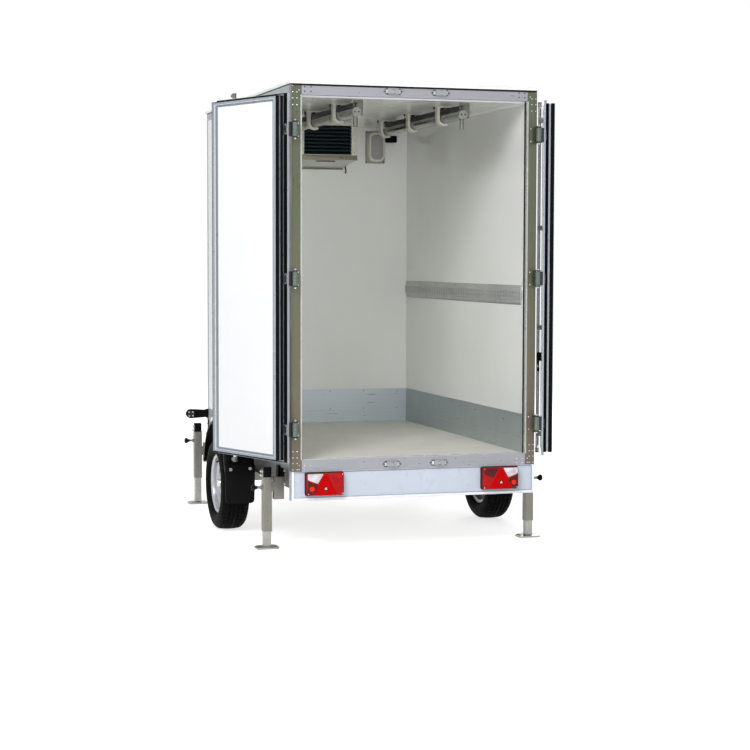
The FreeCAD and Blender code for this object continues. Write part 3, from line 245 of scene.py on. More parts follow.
def block(x0: float, x1: float, y0: float, y1: float, z0: float, z1: float) -> Shape:
    """A closed block between two corners: a rectangle carried straight up."""
    return prism([(x0, y0), (x1, y0), (x1, y1), (x0, y1)], Axis.Z, z0, z1)


def prism(outline: Sequence[Sequence[float]], axis: Axis, start: float, end: float) -> Shape:
    """An outline carried straight along an axis, closed at both ends.

    Args:
        outline: pairs in the two other axes, in their order.
        axis: the direction it runs in.
        start: its first place along the axis.
        end: its last place.

    Returns:
        The closed shape.
    """
    pairs = np.asarray(outline, float)
    grid = np.empty((2, len(pairs), 3))
    grid[..., axis.others()] = pairs
    grid[..., axis.value] = [[start], [end]]
    return lattice(grid, wrap_v=True, caps=True)


def rect(x0: float, x1: float, z0: float, z1: float) -> list[tuple[float, float]]:
    """A rectangle's four corners."""
    return [(x0, z0), (x1, z0), (x1, z1), (x0, z1)]


def soft_corners(outline: Sequence[Sequence[float]], radius: float, steps: int = 4) -> np.ndarray:
    """A closed outline with each corner rounded.

    A corner p gives way to (1-t) squared times a, plus 2t(1-t) times p, plus t squared times b,
    where a and b lie on its two edges, a radius from it or 0.45 of the edge if that is less.

    Args:
        outline: pairs in order round the outline.
        radius: the distance from the corner at which the rounding starts.
        steps: short edges round each corner.

    Returns:
        The pairs round the softened outline.
    """
    corner = np.asarray(outline, float)
    before, after = np.roll(corner, 1, axis=0) - corner, np.roll(corner, -1, axis=0) - corner
    ends = []
    for edge in (before, after):
        length = np.linalg.norm(edge, axis=1, keepdims=True)
        ends.append(corner + edge / length * np.minimum(radius, 0.45 * length))
    t = np.linspace(0, 1, steps + 1)[None, :, None]
    a, p, b = ends[0][:, None], corner[:, None], ends[1][:, None]
    return ((1 - t) ** 2 * a + 2 * t * (1 - t) * p + t**2 * b).reshape(-1, 2)


def shrunk(outline: np.ndarray, by: float) -> np.ndarray:
    """An outline drawn in by a distance at its widest, scaled about its middle on each axis.

    Args:
        outline: pairs in its plane.
        by: how far it is drawn in.

    Returns:
        The smaller outline.
    """
    low, high = outline.min(axis=0), outline.max(axis=0)
    middle, half = (low + high) / 2, (high - low) / 2
    return middle + (outline - middle) * (1 - by / half)


def loft(
    axis: Axis, outlines: Sequence[np.ndarray], places: Sequence[float], loop: bool = False
) -> Shape:
    """A skin through matching outlines, each at its place along an axis.

    Args:
        axis: the direction it runs in.
        outlines: pairs in the two other axes, as many in each.
        places: one for each outline.
        loop: join the last outline to the first, as a tube with a wall; otherwise close both ends.

    Returns:
        The closed shape.
    """
    pairs = np.asarray(outlines, float)
    grid = np.empty((*pairs.shape[:2], 3))
    grid[..., axis.others()] = pairs
    grid[..., axis.value] = np.asarray(places, float)[:, None]
    return lattice(grid, wrap_u=loop, wrap_v=True, caps=not loop)


def hollow(
    outer: np.ndarray, inner: np.ndarray, axis: Axis, start: float, end: float
) -> Shape:
    """A tube with a wall: an outer and an inner outline carried along an axis."""
    return loft(axis, [outer, outer, inner, inner], [start, end, end, start], loop=True)


def stepped(outline: np.ndarray, axis: Axis, steps: Sequence[tuple[float, float]]) -> Shape:
    """A closed shape through one outline, drawn in by so much at each place along an axis.

    Args:
        outline: pairs in the two other axes.
        axis: the direction it stands in.
        steps: for each ring how far it is drawn in, and its place.

    Returns:
        The closed shape.
    """
    return loft(axis, [shrunk(outline, by) for by, _ in steps], [at for _, at in steps])


def pillow(outline: np.ndarray, axis: Axis, start: float, end: float, edge: float) -> Shape:
    """A pad: an outline carried along an axis, with its far edge rounded by a quarter circle.

    Args:
        outline: pairs in the two other axes.
        axis: the direction it stands in.
        start: the place of its back.
        end: the place of its face.
        edge: the radius of the rounding.

    Returns:
        The closed pad.
    """
    away = math.copysign(edge, end - start)
    turns = np.linspace(0, math.pi / 2, 4).tolist()
    steps = [(edge * (1 - math.cos(a)), end - away + away * math.sin(a)) for a in turns]
    return stepped(outline, axis, [(0.0, start), *steps])


def pad(
    box: Sequence[float], radius: float, axis: Axis, start: float, end: float, edge: float
) -> Shape:
    """A pad over a rectangle with round corners.

    Args:
        box: the rectangle's two ends on the first and on the second other axis.
        radius: the rounding of its corners.
        axis: the direction it stands in.
        start: the place of its back.
        end: the place of its face.
        edge: the rounding of its face's edge.

    Returns:
        The closed pad.
    """
    return pillow(soft_corners(rect(*box), radius), axis, start, end, edge)


def lathe(
    profile: Sequence[Sequence[float]],
    axis: Axis,
    centre: Sequence[float] = (0, 0, 0),
    steps: int = 32,
    loop: bool = False,
) -> Shape:
    """A profile of (radius, place along the axis) spun about a line along an axis.

    A point is the centre, plus radius times cosine and sine of the angle in the other two axes,
    plus its place along the axis.

    Args:
        profile: the pairs; a radius of 0 closes a pole.
        axis: the direction of the line.
        centre: a point on it.
        steps: flats in a full turn.
        loop: join the profile's end to its start.

    Returns:
        The round surface.
    """
    radius, along = np.asarray(profile, float).T
    angle = np.arange(steps) * (2 * math.pi / steps)
    first, second = axis.others()
    grid = np.empty((steps, len(radius), 3))
    grid[..., first] = centre[first] + np.cos(angle)[:, None] * radius
    grid[..., second] = centre[second] + np.sin(angle)[:, None] * radius
    grid[..., axis.value] = centre[axis.value] + along
    return lattice(grid, wrap_u=True, wrap_v=loop)


def disc(axis: Axis, centre: Sequence[float], radius: float, length: float, steps: int = 32) -> Shape:
    """A plain round bar or disc from its centre along an axis, with a small chamfer at both ends.

    Args:
        axis: the direction it runs in.
        centre: the middle of its first end.
        radius: its radius.
        length: how far it runs, with its sign.
        steps: flats round it.

    Returns:
        The closed bar.
    """
    cut = math.copysign(min(radius, abs(length)) * 0.12, length)
    edge = abs(cut)
    profile = [
        (0, 0),
        (radius - edge, 0),
        (radius, cut),
        (radius, length - cut),
        (radius - edge, length),
        (0, length),
    ]
    return lathe(profile, axis, centre, steps)


def dome(axis: Axis, radius: float, height: float, steps: int = 10) -> Shape:
    """A rivet head at the origin: a quarter ellipse of radius and height, spun about an axis.

    Args:
        axis: the direction it stands in.
        radius: its radius.
        height: how far it stands out, with its sign.
        steps: flats round it.

    Returns:
        The closed head.
    """
    angle = np.linspace(math.pi / 2, 0, 4)
    profile = np.stack([np.cos(angle) * radius, np.sin(angle) * height], -1)
    base = [(radius, 0.0), (0.0, 0.0)]
    return lathe([*profile.tolist(), *base], axis, steps=steps)


def hex_head(axis: Axis, radius: float, height: float) -> Shape:
    """A six-sided bolt head with a washer at the origin, standing along an axis.

    Args:
        axis: the direction it stands in.
        radius: its radius over the corners.
        height: how far it stands out, with its sign.

    Returns:
        The closed head.
    """
    half = abs(height)
    tip = math.copysign(1, height)
    head = [(0, height), (radius * 0.8, height), (radius, height - tip * half * 0.25), (radius, 0)]
    washer = [(radius * 1.5, 0), (radius * 1.5, tip * half * 0.25), (0, tip * half * 0.25)]
    return lathe([*head, (0, 0)], axis, steps=6) + lathe([(0, 0), *washer], axis, steps=16)


def tube(path: Sequence[Sequence[float]], radius: float, sides: int = 12) -> Shape:
    """A round bar along a line.

    At each point the ring is the point plus radius times cosine of the angle along a side vector
    and sine along a second one, both at right angles to the line's direction there.

    Args:
        path: points on the line.
        radius: the bar's radius.
        sides: flats round it.

    Returns:
        The closed bar.
    """
    line = np.asarray(path, float)
    heading = np.gradient(line, axis=0)
    heading /= np.linalg.norm(heading, axis=1, keepdims=True)
    guide = np.eye(3)[np.argmin(np.abs(heading).max(axis=0))]
    side = np.cross(heading, guide)
    side /= np.linalg.norm(side, axis=1, keepdims=True)
    second = np.cross(side, heading)
    angle = np.arange(sides) * (2 * math.pi / sides)
    ring = np.cos(angle)[None, :, None] * side[:, None] + np.sin(angle)[None, :, None] * second[:, None]
    return lattice(line[:, None] + radius * ring, wrap_v=True, caps=True)


def smooth_line(points: Sequence[Sequence[float]], steps: int = 8) -> np.ndarray:
    """A smooth line through points: a cubic between each two, with slopes from their neighbours.

    Args:
        points: the places it goes through.
        steps: short pieces between two points.

    Returns:
        The points on the line.
    """
    given = np.asarray(points, float)
    held = np.concatenate([given[:1], given, given[-1:]])
    a, b, c, d = held[:-3, None], held[1:-2, None], held[2:-1, None], held[3:, None]
    t = (np.arange(steps) / steps)[None, :, None]
    bend = (2 * a - 5 * b + 4 * c - d) * t**2 + (3 * b - a - 3 * c + d) * t**3
    line = 0.5 * (2 * b + (c - a) * t + bend)
    return np.concatenate([line.reshape(-1, given.shape[1]), given[-1:]])


def collar(rings: Sequence[Sequence[float]]) -> Shape:
    """A closed rectangular frame with mitred corners.

    Args:
        rings: for each step of its section (x0, x1, z0, z1, y): a rectangle and its depth.

    Returns:
        The frame, its section joined round.
    """
    x0, x1, z0, z1, y = np.asarray(rings, float).T
    corners = [(x0, z0), (x1, z0), (x1, z1), (x0, z1)]
    grid = np.stack([np.stack([x, y, z], -1) for x, z in corners], 1)
    return lattice(grid, wrap_u=True, wrap_v=True)


def pierced(grid: np.ndarray, open_cells: np.ndarray) -> Shape:
    """A sheet over a grid with the cells that open_cells marks left out, for a wall."""
    full = lattice(grid)
    return Shape(full.points, (full.faces[0][~open_cells.ravel()],))


def linear(colour: Colour) -> tuple[float, float, float, float]:
    """A screen colour as the light values a shader takes, with full cover.

    Args:
        colour: the screen colour.

    Returns:
        Red, green, blue and cover, as light values.
    """
    c = np.asarray(colour, float)
    light = np.where(c <= 0.04045, c / 12.92, ((c + 0.055) / 1.055) ** 2.4)
    return (*light.tolist(), 1.0)


class Sheet:
    """A material's node tree, with short calls for the nodes that the finishes share."""

    def __init__(self, name: str) -> None:
        """Starts a material; its colour, roughness and relief are filled in step by step.

        Args:
            name: the material's name.
        """
        self.material = bpy.data.materials.new(name)
        self.material.use_nodes = True
        self.tree = self.material.node_tree
        self.shader = self.tree.nodes["Principled BSDF"]
        self.place = self.tree.nodes.new("ShaderNodeTexCoord").outputs["Object"]
        self.colour: Socket | None = None
        self.rough: Socket | None = None
        self.normal: Socket | None = None

    def node(self, kind: str, **settings: object) -> bpy.types.Node:
        """A new node of a kind with its settings.

        Args:
            kind: the node's type.

        Returns:
            The new node.
        """
        made = self.tree.nodes.new("ShaderNode" + kind)
        for key, value in settings.items():
            setattr(made, key, value)
        return made

    def link(self, source: Socket, target: Socket) -> None:
        """Joins an output to an input."""
        self.tree.links.new(source, target)

    def stretched(self, scale: Sequence[float]) -> Socket:
        """The place on the piece, multiplied along each axis.

        Args:
            scale: the factor along each axis.

        Returns:
            The scaled place.
        """
        mapping = self.node("Mapping")
        mapping.inputs["Scale"].default_value = tuple(scale)
        self.link(self.place, mapping.inputs["Vector"])
        return mapping.outputs["Vector"]

    def noise(self, scale: Sequence[float], detail: float = 3.0) -> Socket:
        """Soft noise from 0 to 1 with so many waves per metre along each axis.

        Args:
            scale: waves per metre along each axis.
            detail: how many finer layers it has.

        Returns:
            The noise.
        """
        made = self.node("TexNoise")
        made.inputs["Scale"].default_value = 1.0
        made.inputs["Detail"].default_value = detail
        self.link(self.stretched(scale), made.inputs["Vector"])
        return made.outputs["Fac"]

    def ramp(self, source: Socket, low: float, high: float, start: float, end: float) -> Socket:
        """A value that goes from start to end while the source goes from low to high.

        Args:
            source: the value it follows.
            low: the source where it starts.
            high: the source where it ends.
            start: its value at the low side.
            end: its value at the high side.

        Returns:
            The ramped value.
        """
        made = self.node("MapRange")
        for name, value in (("From Min", low), ("From Max", high), ("To Min", start), ("To Max", end)):
            made.inputs[name].default_value = value
        self.link(source, made.inputs["Value"])
        return made.outputs["Result"]

    def math(self, how: str, first: Socket, second: Socket | float) -> Socket:
        """Two values put together in the way named.

        Args:
            how: the name of the operation.
            first: the first value.
            second: the second value.

        Returns:
            The result.
        """
        made = self.node("Math", operation=how)
        self.link(first, made.inputs[0])
        if isinstance(second, float):
            made.inputs[1].default_value = second
        else:
            self.link(second, made.inputs[1])
        return made.outputs[0]

    def blend(self, factor: Socket, first: Socket | Colour, second: Socket | Colour) -> Socket:
        """One colour at factor 0 and another at factor 1.

        Args:
            factor: how much of the second colour.
            first: the colour at factor 0.
            second: the colour at factor 1.

        Returns:
            The blended colour.
        """
        made = self.node("Mix", data_type="RGBA")
        self.link(factor, made.inputs[0])
        for slot, value in ((6, first), (7, second)):
            if isinstance(value, tuple):
                made.inputs[slot].default_value = linear(value)
            else:
                self.link(value, made.inputs[slot])
        return made.outputs[2]

    def bump(self, height: Socket, depth: float) -> None:
        """Adds a relief on top of the relief so far.

        Args:
            height: the pattern of the relief.
            depth: its height in metres.
        """
        made = self.node("Bump")
        made.inputs["Distance"].default_value = depth
        self.link(height, made.inputs["Height"])
        if self.normal is not None:
            self.link(self.normal, made.inputs["Normal"])
        self.normal = made.outputs["Normal"]

    def roughen(self, change: Socket) -> None:
        """Adds a change to the roughness so far."""
        self.rough = self.math("ADD", self.rough, change)


@dataclass(frozen=True)
class Finish:
    """One surface finish: its colour and gloss and how they vary over the piece, in metres.

    Attributes:
        label: the material's name.
        slot: the kind of material it is; not used.
        colour: its mean colour on the screen.
        roughness: its mean roughness, which varies by spread either way.
        tint: the share by which the colour varies either way, in so many patches per metre.
        grit: waves per metre of the fine relief, and its height.
        grain: waves per metre of the streaks along each axis.
        streaks: the streaks' height, and the share by which they darken.
        spangle: zinc flecks per metre.
        cells: facets per metre inside a lamp's pane, and their height.
        dirt: how thick dirt lies at the ground, and the height where it ends.
        dirt_even: the share of the dirt that lies between the spots.
        wear: how far the edges are rubbed to wear_colour.
        glow: how strongly it gives off its own colour.
        shine: how strongly it mirrors.
    """

    label: str
    slot: str
    colour: Colour
    roughness: float
    metallic: float = 0.0
    spread: float = 0.06
    tint: float = 0.03
    patches: float = 2.5
    grit: tuple[float, float] = (350.0, 0.00003)
    grain: tuple[float, float, float] | None = None
    streaks: tuple[float, float] = (0.00004, 0.06)
    spangle: float = 0.0
    cells: tuple[float, float] | None = None
    coat: float = 0.0
    dirt: tuple[float, float] | None = None
    dirt_colour: Colour = (0.42, 0.39, 0.35)
    wear: float = 0.0
    wear_colour: Colour = (0.75, 0.75, 0.74)
    glow: float = 0.0
    shine: float = 0.5
    dirt_even: float = 0.2

    def shade(self, share: float) -> Colour:
        """The finish's colour made darker or lighter by a share of itself."""
        return tuple(min(max(c * (1 + share), 0.0), 1.0) for c in self.colour)

    def streak(self, sheet: Sheet) -> None:
        """Long fine streaks in the colour, the roughness and the relief.

        Args:
            sheet: the material in the making.
        """
        height, tint = self.streaks
        streaks = sheet.noise(self.grain, 4.0)
        strong = sheet.ramp(streaks, 0.25, 0.75, 0.0, 1.0)
        darker = sheet.node("Mix", data_type="RGBA", blend_type="MULTIPLY")
        low = 1.0 - 2 * tint
        sheet.link(sheet.colour, darker.inputs[6])
        sheet.link(sheet.blend(strong, (low, low, low), (1.0, 1.0, 1.0)), darker.inputs[7])
        darker.inputs[0].default_value = 1.0
        sheet.colour = darker.outputs[2]
        sheet.roughen(sheet.ramp(streaks, 0.3, 0.7, -0.05, 0.05))
        sheet.bump(streaks, height)

    def fleck(self, sheet: Sheet, even: Socket) -> None:
        """Crystal flecks of zinc, strongest where the broad noise is high.

        Args:
            sheet: the material in the making.
            even: the broad noise.
        """
        cells = sheet.node("TexVoronoi")
        cells.inputs["Scale"].default_value = self.spangle
        sheet.link(sheet.place, cells.inputs["Vector"])
        grey = sheet.node("RGBToBW")
        sheet.link(cells.outputs["Color"], grey.inputs[0])
        flecks = sheet.ramp(grey.outputs[0], 0.2, 0.8, 0.0, 1.0)
        soft = sheet.math("MULTIPLY", flecks, even)
        amount = sheet.math("MULTIPLY", soft, 0.3)
        sheet.colour = sheet.blend(amount, sheet.colour, self.shade(0.16))
        sheet.roughen(sheet.ramp(flecks, 0.0, 1.0, -0.05, 0.07))

    def facet(self, sheet: Sheet) -> None:
        """The small even facets inside a lamp's pane.

        Args:
            sheet: the material in the making.
        """
        facets = sheet.node("TexVoronoi", feature="F1")
        facets.inputs["Scale"].default_value, height = self.cells
        facets.inputs["Randomness"].default_value = 0.0
        sheet.link(sheet.place, facets.inputs["Vector"])
        sheet.bump(facets.outputs["Distance"], height)

    def rub(self, sheet: Sheet, uneven: Socket) -> None:
        """Lighter edges, worn in patches: an edge is where the rounded normal turns away.

        Args:
            sheet: the material in the making.
            uneven: the noise of the roughness.
        """
        soft_edge = sheet.node("Bevel", samples=4)
        soft_edge.inputs["Radius"].default_value = 0.003
        surface = sheet.node("NewGeometry")
        match = sheet.node("VectorMath", operation="DOT_PRODUCT")
        sheet.link(soft_edge.outputs["Normal"], match.inputs[0])
        sheet.link(surface.outputs["Normal"], match.inputs[1])
        edge = sheet.ramp(match.outputs["Value"], 0.995, 0.9, 0.0, 1.0)
        worn = sheet.math("MULTIPLY", edge, sheet.ramp(uneven, 0.45, 0.65, 0.0, self.wear))
        sheet.colour = sheet.blend(worn, sheet.colour, self.wear_colour)

    def soil(self, sheet: Sheet) -> None:
        """Dirt in spots, more of it towards the ground.

        Args:
            sheet: the material in the making.
        """
        thick, top = self.dirt
        split = sheet.node("SeparateXYZ")
        sheet.link(sheet.place, split.inputs[0])
        low = sheet.ramp(split.outputs["Z"], 0.0, top, thick, 0.0)
        spots = sheet.ramp(sheet.noise([9.0, 9.0, 5.0], 6.0), 0.35, 0.7, self.dirt_even, 1.0)
        amount = sheet.math("MULTIPLY", low, spots)
        sheet.colour = sheet.blend(amount, sheet.colour, self.dirt_colour)
        sheet.roughen(sheet.math("MULTIPLY", amount, 0.5))

    def build(self) -> bpy.types.Material:
        """The node material.

        Broad noise moves the colour between a darker and a lighter shade, another noise moves the
        roughness, and fine grit gives the relief. The finish's own marks come on top.

        Returns:
            The material.
        """
        sheet = Sheet(self.label)
        broad = sheet.noise([self.patches] * 3, 4.0)
        even = sheet.ramp(broad, 0.3, 0.7, 0.0, 1.0)
        sheet.colour = sheet.blend(even, self.shade(-self.tint), self.shade(self.tint))
        grit, height = self.grit
        sheet.bump(sheet.noise([grit] * 3, 2.0), height)
        uneven = sheet.noise([self.patches * 6] * 3, 5.0)
        low, high = self.roughness - self.spread, self.roughness + self.spread
        sheet.rough = sheet.ramp(uneven, 0.3, 0.7, low, high)
        if self.grain is not None:
            self.streak(sheet)
        if self.spangle:
            self.fleck(sheet, even)
        if self.cells:
            self.facet(sheet)
        if self.wear:
            self.rub(sheet, uneven)
        if self.dirt:
            self.soil(sheet)
        shader = sheet.shader.inputs
        sheet.link(sheet.colour, shader["Base Color"])
        sheet.link(sheet.rough, shader["Roughness"])
        sheet.link(sheet.normal, shader["Normal"])
        shader["Metallic"].default_value = self.metallic
        shader["Coat Weight"].default_value = self.coat
        shader["Coat Roughness"].default_value = 0.06
        shader["Specular IOR Level"].default_value = self.shine
        if self.glow:
            sheet.link(sheet.colour, shader["Emission Color"])
            shader["Emission Strength"].default_value = self.glow
        return sheet.material


class Finishes(Enum):
    """Every finish on the trailer, by the part it is for."""

    PANEL = Finish(
        "white_laminate", "white_panel", (0.95, 0.96, 0.965), 0.18, spread=0.03, tint=0.006,
        patches=1.2, grit=(160.0, 0.000003), coat=0.3, dirt=(0.06, 1.0),
        dirt_colour=(0.76, 0.75, 0.72),
    )
    LINING = Finish(
        "cream_laminate", "white_panel", (0.93, 0.935, 0.92), 0.17, spread=0.03, tint=0.012,
        patches=1.5, grit=(160.0, 0.000003), coat=0.4,
    )
    CEILING = Finish(
        "ceiling_laminate", "white_panel", (0.92, 0.92, 0.90), 0.20, spread=0.04, tint=0.015,
        patches=2.0, grit=(160.0, 0.000002), coat=0.3,
    )
    PROFILE = Finish(
        "aluminium", "aluminium_profile", (0.62, 0.66, 0.68), 0.33, metallic=0.6, tint=0.02,
        grain=(60.0, 6.0, 300.0), streaks=(0.00001, 0.02), dirt=(0.10, 0.7),
    )
    DOOR_RIM = Finish(
        "door_aluminium", "aluminium_profile", (0.62, 0.65, 0.68), 0.32, metallic=0.5, tint=0.012,
        grain=(90.0, 90.0, 3.0), streaks=(0.000003, 0.02),
    )
    DOOR_BAND = Finish(
        "door_band", "aluminium_profile", (0.52, 0.55, 0.58), 0.32, metallic=0.5, tint=0.015,
        grain=(90.0, 90.0, 3.0), streaks=(0.000003, 0.025),
    )
    BEAD = Finish(
        "door_bead", "white_paint", (0.82, 0.845, 0.87), 0.28, tint=0.01, patches=4.0, coat=0.3,
    )
    HEADER = Finish(
        "header_aluminium", "aluminium_profile", (0.63, 0.635, 0.66), 0.34, metallic=0.4,
        tint=0.012, grain=(3.0, 90.0, 90.0), streaks=(0.000003, 0.012),
    )
    # The olive tint is a painted reflection of green surroundings on the stainless; the same ramp that lays
    # dirt elsewhere makes it browner towards the bottom, up to 2.1 m.
    POST = Finish(
        "brushed_stainless", "stainless", (0.40, 0.42, 0.35), 0.32, metallic=0.6, tint=0.03,
        patches=1.6, grain=(120.0, 120.0, 4.0), streaks=(0.000004, 0.03), dirt=(0.95, 2.1),
        dirt_even=0.75, dirt_colour=(0.49, 0.43, 0.39),
    )
    BRIGHT = Finish(
        "polished_steel", "stainless", (0.78, 0.78, 0.79), 0.22, metallic=0.9, tint=0.03,
        grit=(500.0, 0.00001),
    )
    # The green tint of the hinge steel is a painted reflection of the surroundings.
    BARREL = Finish(
        "hinge_steel", "stainless", (0.42, 0.47, 0.44), 0.28, metallic=0.7, tint=0.04, patches=12.0,
        grain=(120.0, 120.0, 6.0), streaks=(0.000004, 0.03),
    )
    DARK_STEEL = Finish(
        "dark_steel", "black_plastic", (0.20, 0.205, 0.21), 0.38, metallic=0.5, tint=0.08,
        patches=10.0, grit=(600.0, 0.00003), wear=0.3, wear_colour=(0.42, 0.42, 0.43),
    )
    CAST = Finish(
        "cast_cream", "evaporator_white", (0.80, 0.79, 0.74), 0.34, tint=0.04, patches=14.0,
        grit=(420.0, 0.0001), coat=0.2, wear=0.3, wear_colour=(0.60, 0.60, 0.58),
    )
    BROWN = Finish(
        "dark_brown_seal", "black_rubber", (0.13, 0.105, 0.095), 0.50, shine=0.15, tint=0.12,
        patches=7.0, grit=(500.0, 0.00004),
    )
    DOT = Finish(
        "pale_dot", "lamp_grey", (0.80, 0.79, 0.76), 0.30, tint=0.05, patches=30.0, coat=0.3,
    )
    RAIL = Finish(
        "rail_steel", "stainless", (0.56, 0.57, 0.54), 0.17, metallic=1.0, tint=0.03,
        grain=(60.0, 3.0, 60.0), streaks=(0.000004, 0.03),
    )
    RAIL_PLATE = Finish(
        "rail_plate", "stainless", (0.44, 0.435, 0.41), 0.34, metallic=0.6, tint=0.05, patches=12.0,
        grit=(500.0, 0.00003),
    )
    KEEP = Finish(
        "keep_boss", "stainless", (0.66, 0.71, 0.68), 0.30, metallic=0.5, tint=0.05, patches=20.0,
        grit=(500.0, 0.00002),
    )
    CAM = Finish(
        "cam_steel", "stainless", (0.50, 0.48, 0.45), 0.30, metallic=0.8, tint=0.08, patches=30.0,
        grit=(500.0, 0.00003), wear=0.6, wear_colour=(0.85, 0.84, 0.80),
    )
    TRIM = Finish(
        "pale_trim", "aluminium_profile", (0.74, 0.745, 0.74), 0.30, metallic=0.4, tint=0.02,
        grain=(90.0, 90.0, 3.0), streaks=(0.000004, 0.02),
    )
    # Near white, a painted highlight: the bright edges of the beam's lips and of the sill.
    LIP_HIGHLIGHT = Finish(
        "lip_painted_highlight", "white_paint", (0.93, 0.945, 0.965), 0.26, tint=0.008, patches=2.0,
        grit=(420.0, 0.00002), coat=0.3,
    )
    # Grey-blue lines just inside the beam's lips: painted shadow.
    BEAM_SHADOW = Finish(
        "beam_painted_shadow", "white_paint", (0.52, 0.54, 0.58), 0.45, tint=0.05, patches=4.0,
    )
    GLOW_RED = Finish(
        "bright_red_lens", "lamp_red", (0.92, 0.12, 0.06), 0.22, tint=0.08, patches=40.0,
        cells=(300.0, 0.0002), coat=0.15, glow=0.22, shine=0.15,
    )
    BEAM = Finish(
        "powder_coat", "white_paint", (0.775, 0.805, 0.86), 0.28, spread=0.05, tint=0.012,
        grit=(420.0, 0.00004), coat=0.3, dirt=(0.16, 0.62), dirt_colour=(0.62, 0.60, 0.58),
        wear=0.3,
    )
    ZINC = Finish(
        "galvanised_steel", "galvanised", (0.60, 0.60, 0.58), 0.42, metallic=0.65, spread=0.08,
        tint=0.06, patches=5.0, spangle=120.0, dirt=(0.35, 0.45), wear=0.3,
        wear_colour=(0.80, 0.80, 0.79),
    )
    FOOT_ZINC = Finish(
        "foot_steel", "galvanised", (0.64, 0.64, 0.615), 0.30, metallic=0.8, spread=0.08, tint=0.06,
        patches=9.0, spangle=120.0, dirt=(0.20, 0.14), wear=0.6, wear_colour=(0.88, 0.88, 0.87),
    )
    LEG_ZINC = Finish(
        "leg_steel", "galvanised", (0.54, 0.53, 0.50), 0.38, metallic=0.5, spread=0.08, tint=0.05,
        patches=4.0, grain=(90.0, 90.0, 4.0), streaks=(0.000004, 0.03), spangle=120.0,
        dirt=(0.25, 0.35), wear=0.3, wear_colour=(0.80, 0.79, 0.77),
    )
    BOLT = Finish(
        "zinc_bolt", "galvanised", (0.80, 0.80, 0.78), 0.27, metallic=1.0, tint=0.06, patches=30.0,
        grit=(700.0, 0.00002),
    )
    RUBBER = Finish(
        "rubber_seal", "black_rubber", (0.04, 0.04, 0.045), 0.50, shine=0.07, tint=0.12,
        patches=8.0, grit=(600.0, 0.00003), dirt=(0.03, 0.8),
    )
    PLASTIC = Finish(
        "moulded_plastic", "black_plastic", (0.045, 0.047, 0.055), 0.42, shine=0.08, tint=0.12,
        patches=9.0, spread=0.08, grit=(900.0, 0.00004), dirt=(0.05, 0.62),
        dirt_colour=(0.15, 0.145, 0.14), wear=0.2, wear_colour=(0.17, 0.17, 0.18),
    )
    TYRE = Finish(
        "tyre_rubber", "tyre", (0.042, 0.042, 0.045), 0.62, shine=0.05, spread=0.09, tint=0.14,
        patches=10.0, grit=(700.0, 0.00008), dirt=(0.07, 0.40), dirt_colour=(0.15, 0.145, 0.14),
    )
    WHEEL = Finish(
        "wheel_silver", "rim", (0.72, 0.73, 0.745), 0.30, metallic=0.6, spread=0.03, tint=0.015,
        patches=3.0, grit=(800.0, 0.00001), coat=0.4, dirt=(0.10, 0.55),
        dirt_colour=(0.45, 0.42, 0.39),
    )
    RED = Finish(
        "red_lens", "lamp_red", (0.66, 0.01, 0.02), 0.22, spread=0.03, tint=0.10, patches=22.0,
        cells=(230.0, 0.0002), coat=0.08, glow=0.06, shine=0.15,
    )
    DARK_RED = Finish(
        "dark_red_lens", "lamp_red", (0.33, 0.02, 0.03), 0.16, spread=0.03, tint=0.16, patches=22.0,
        cells=(260.0, 0.0003), coat=0.10, glow=0.02, shine=0.2,
    )
    # The reflector glows a little, which is painted light: a reflector gives off none.
    REFLECTOR = Finish(
        "reflector_red", "lamp_red", (0.72, 0.01, 0.02), 0.30, spread=0.03, tint=0.05, patches=30.0,
        cells=(420.0, 0.0001), glow=0.08, shine=0.05,
    )
    CLEAR = Finish(
        "clear_lens", "lamp_red", (0.78, 0.78, 0.80), 0.12, spread=0.03, tint=0.10, patches=30.0,
        cells=(210.0, 0.0006), coat=0.6, glow=0.05,
    )
    FLOOR = Finish(
        "beige_floor", "floor_beige", (0.89, 0.88, 0.85), 0.50, spread=0.07, tint=0.025,
        patches=3.0, grit=(260.0, 0.00015),
    )
    KICK = Finish(
        "kick_sheet", "kick_aluminium", (0.68, 0.715, 0.715), 0.36, metallic=0.55, tint=0.03,
        patches=1.4, grain=(90.0, 3.0, 120.0), streaks=(0.000003, 0.02),
    )
    KICK_FRONT = Finish(
        "kick_sheet_front", "kick_aluminium", (0.83, 0.87, 0.90), 0.34, metallic=0.45, tint=0.02,
        patches=1.4, grain=(3.0, 90.0, 120.0), streaks=(0.000003, 0.015),
    )
    LASHING = Finish(
        "lashing_steel", "galvanised", (0.76, 0.77, 0.76), 0.40, metallic=0.5, tint=0.04,
        grain=(90.0, 3.0, 90.0), streaks=(0.000003, 0.03), spangle=110.0,
    )
    CASE = Finish(
        "cream_case", "evaporator_white", (0.84, 0.835, 0.79), 0.34, tint=0.02, patches=3.0,
        grit=(300.0, 0.00001), coat=0.1,
    )
    # Dark teal; on the cooler's slats the teal stands in for the reflections on them, a painted reflection.
    SLAT = Finish(
        "dark_slat", "evaporator_white", (0.10, 0.17, 0.20), 0.40, metallic=0.3, tint=0.08,
        patches=9.0, grit=(300.0, 0.000004),
    )
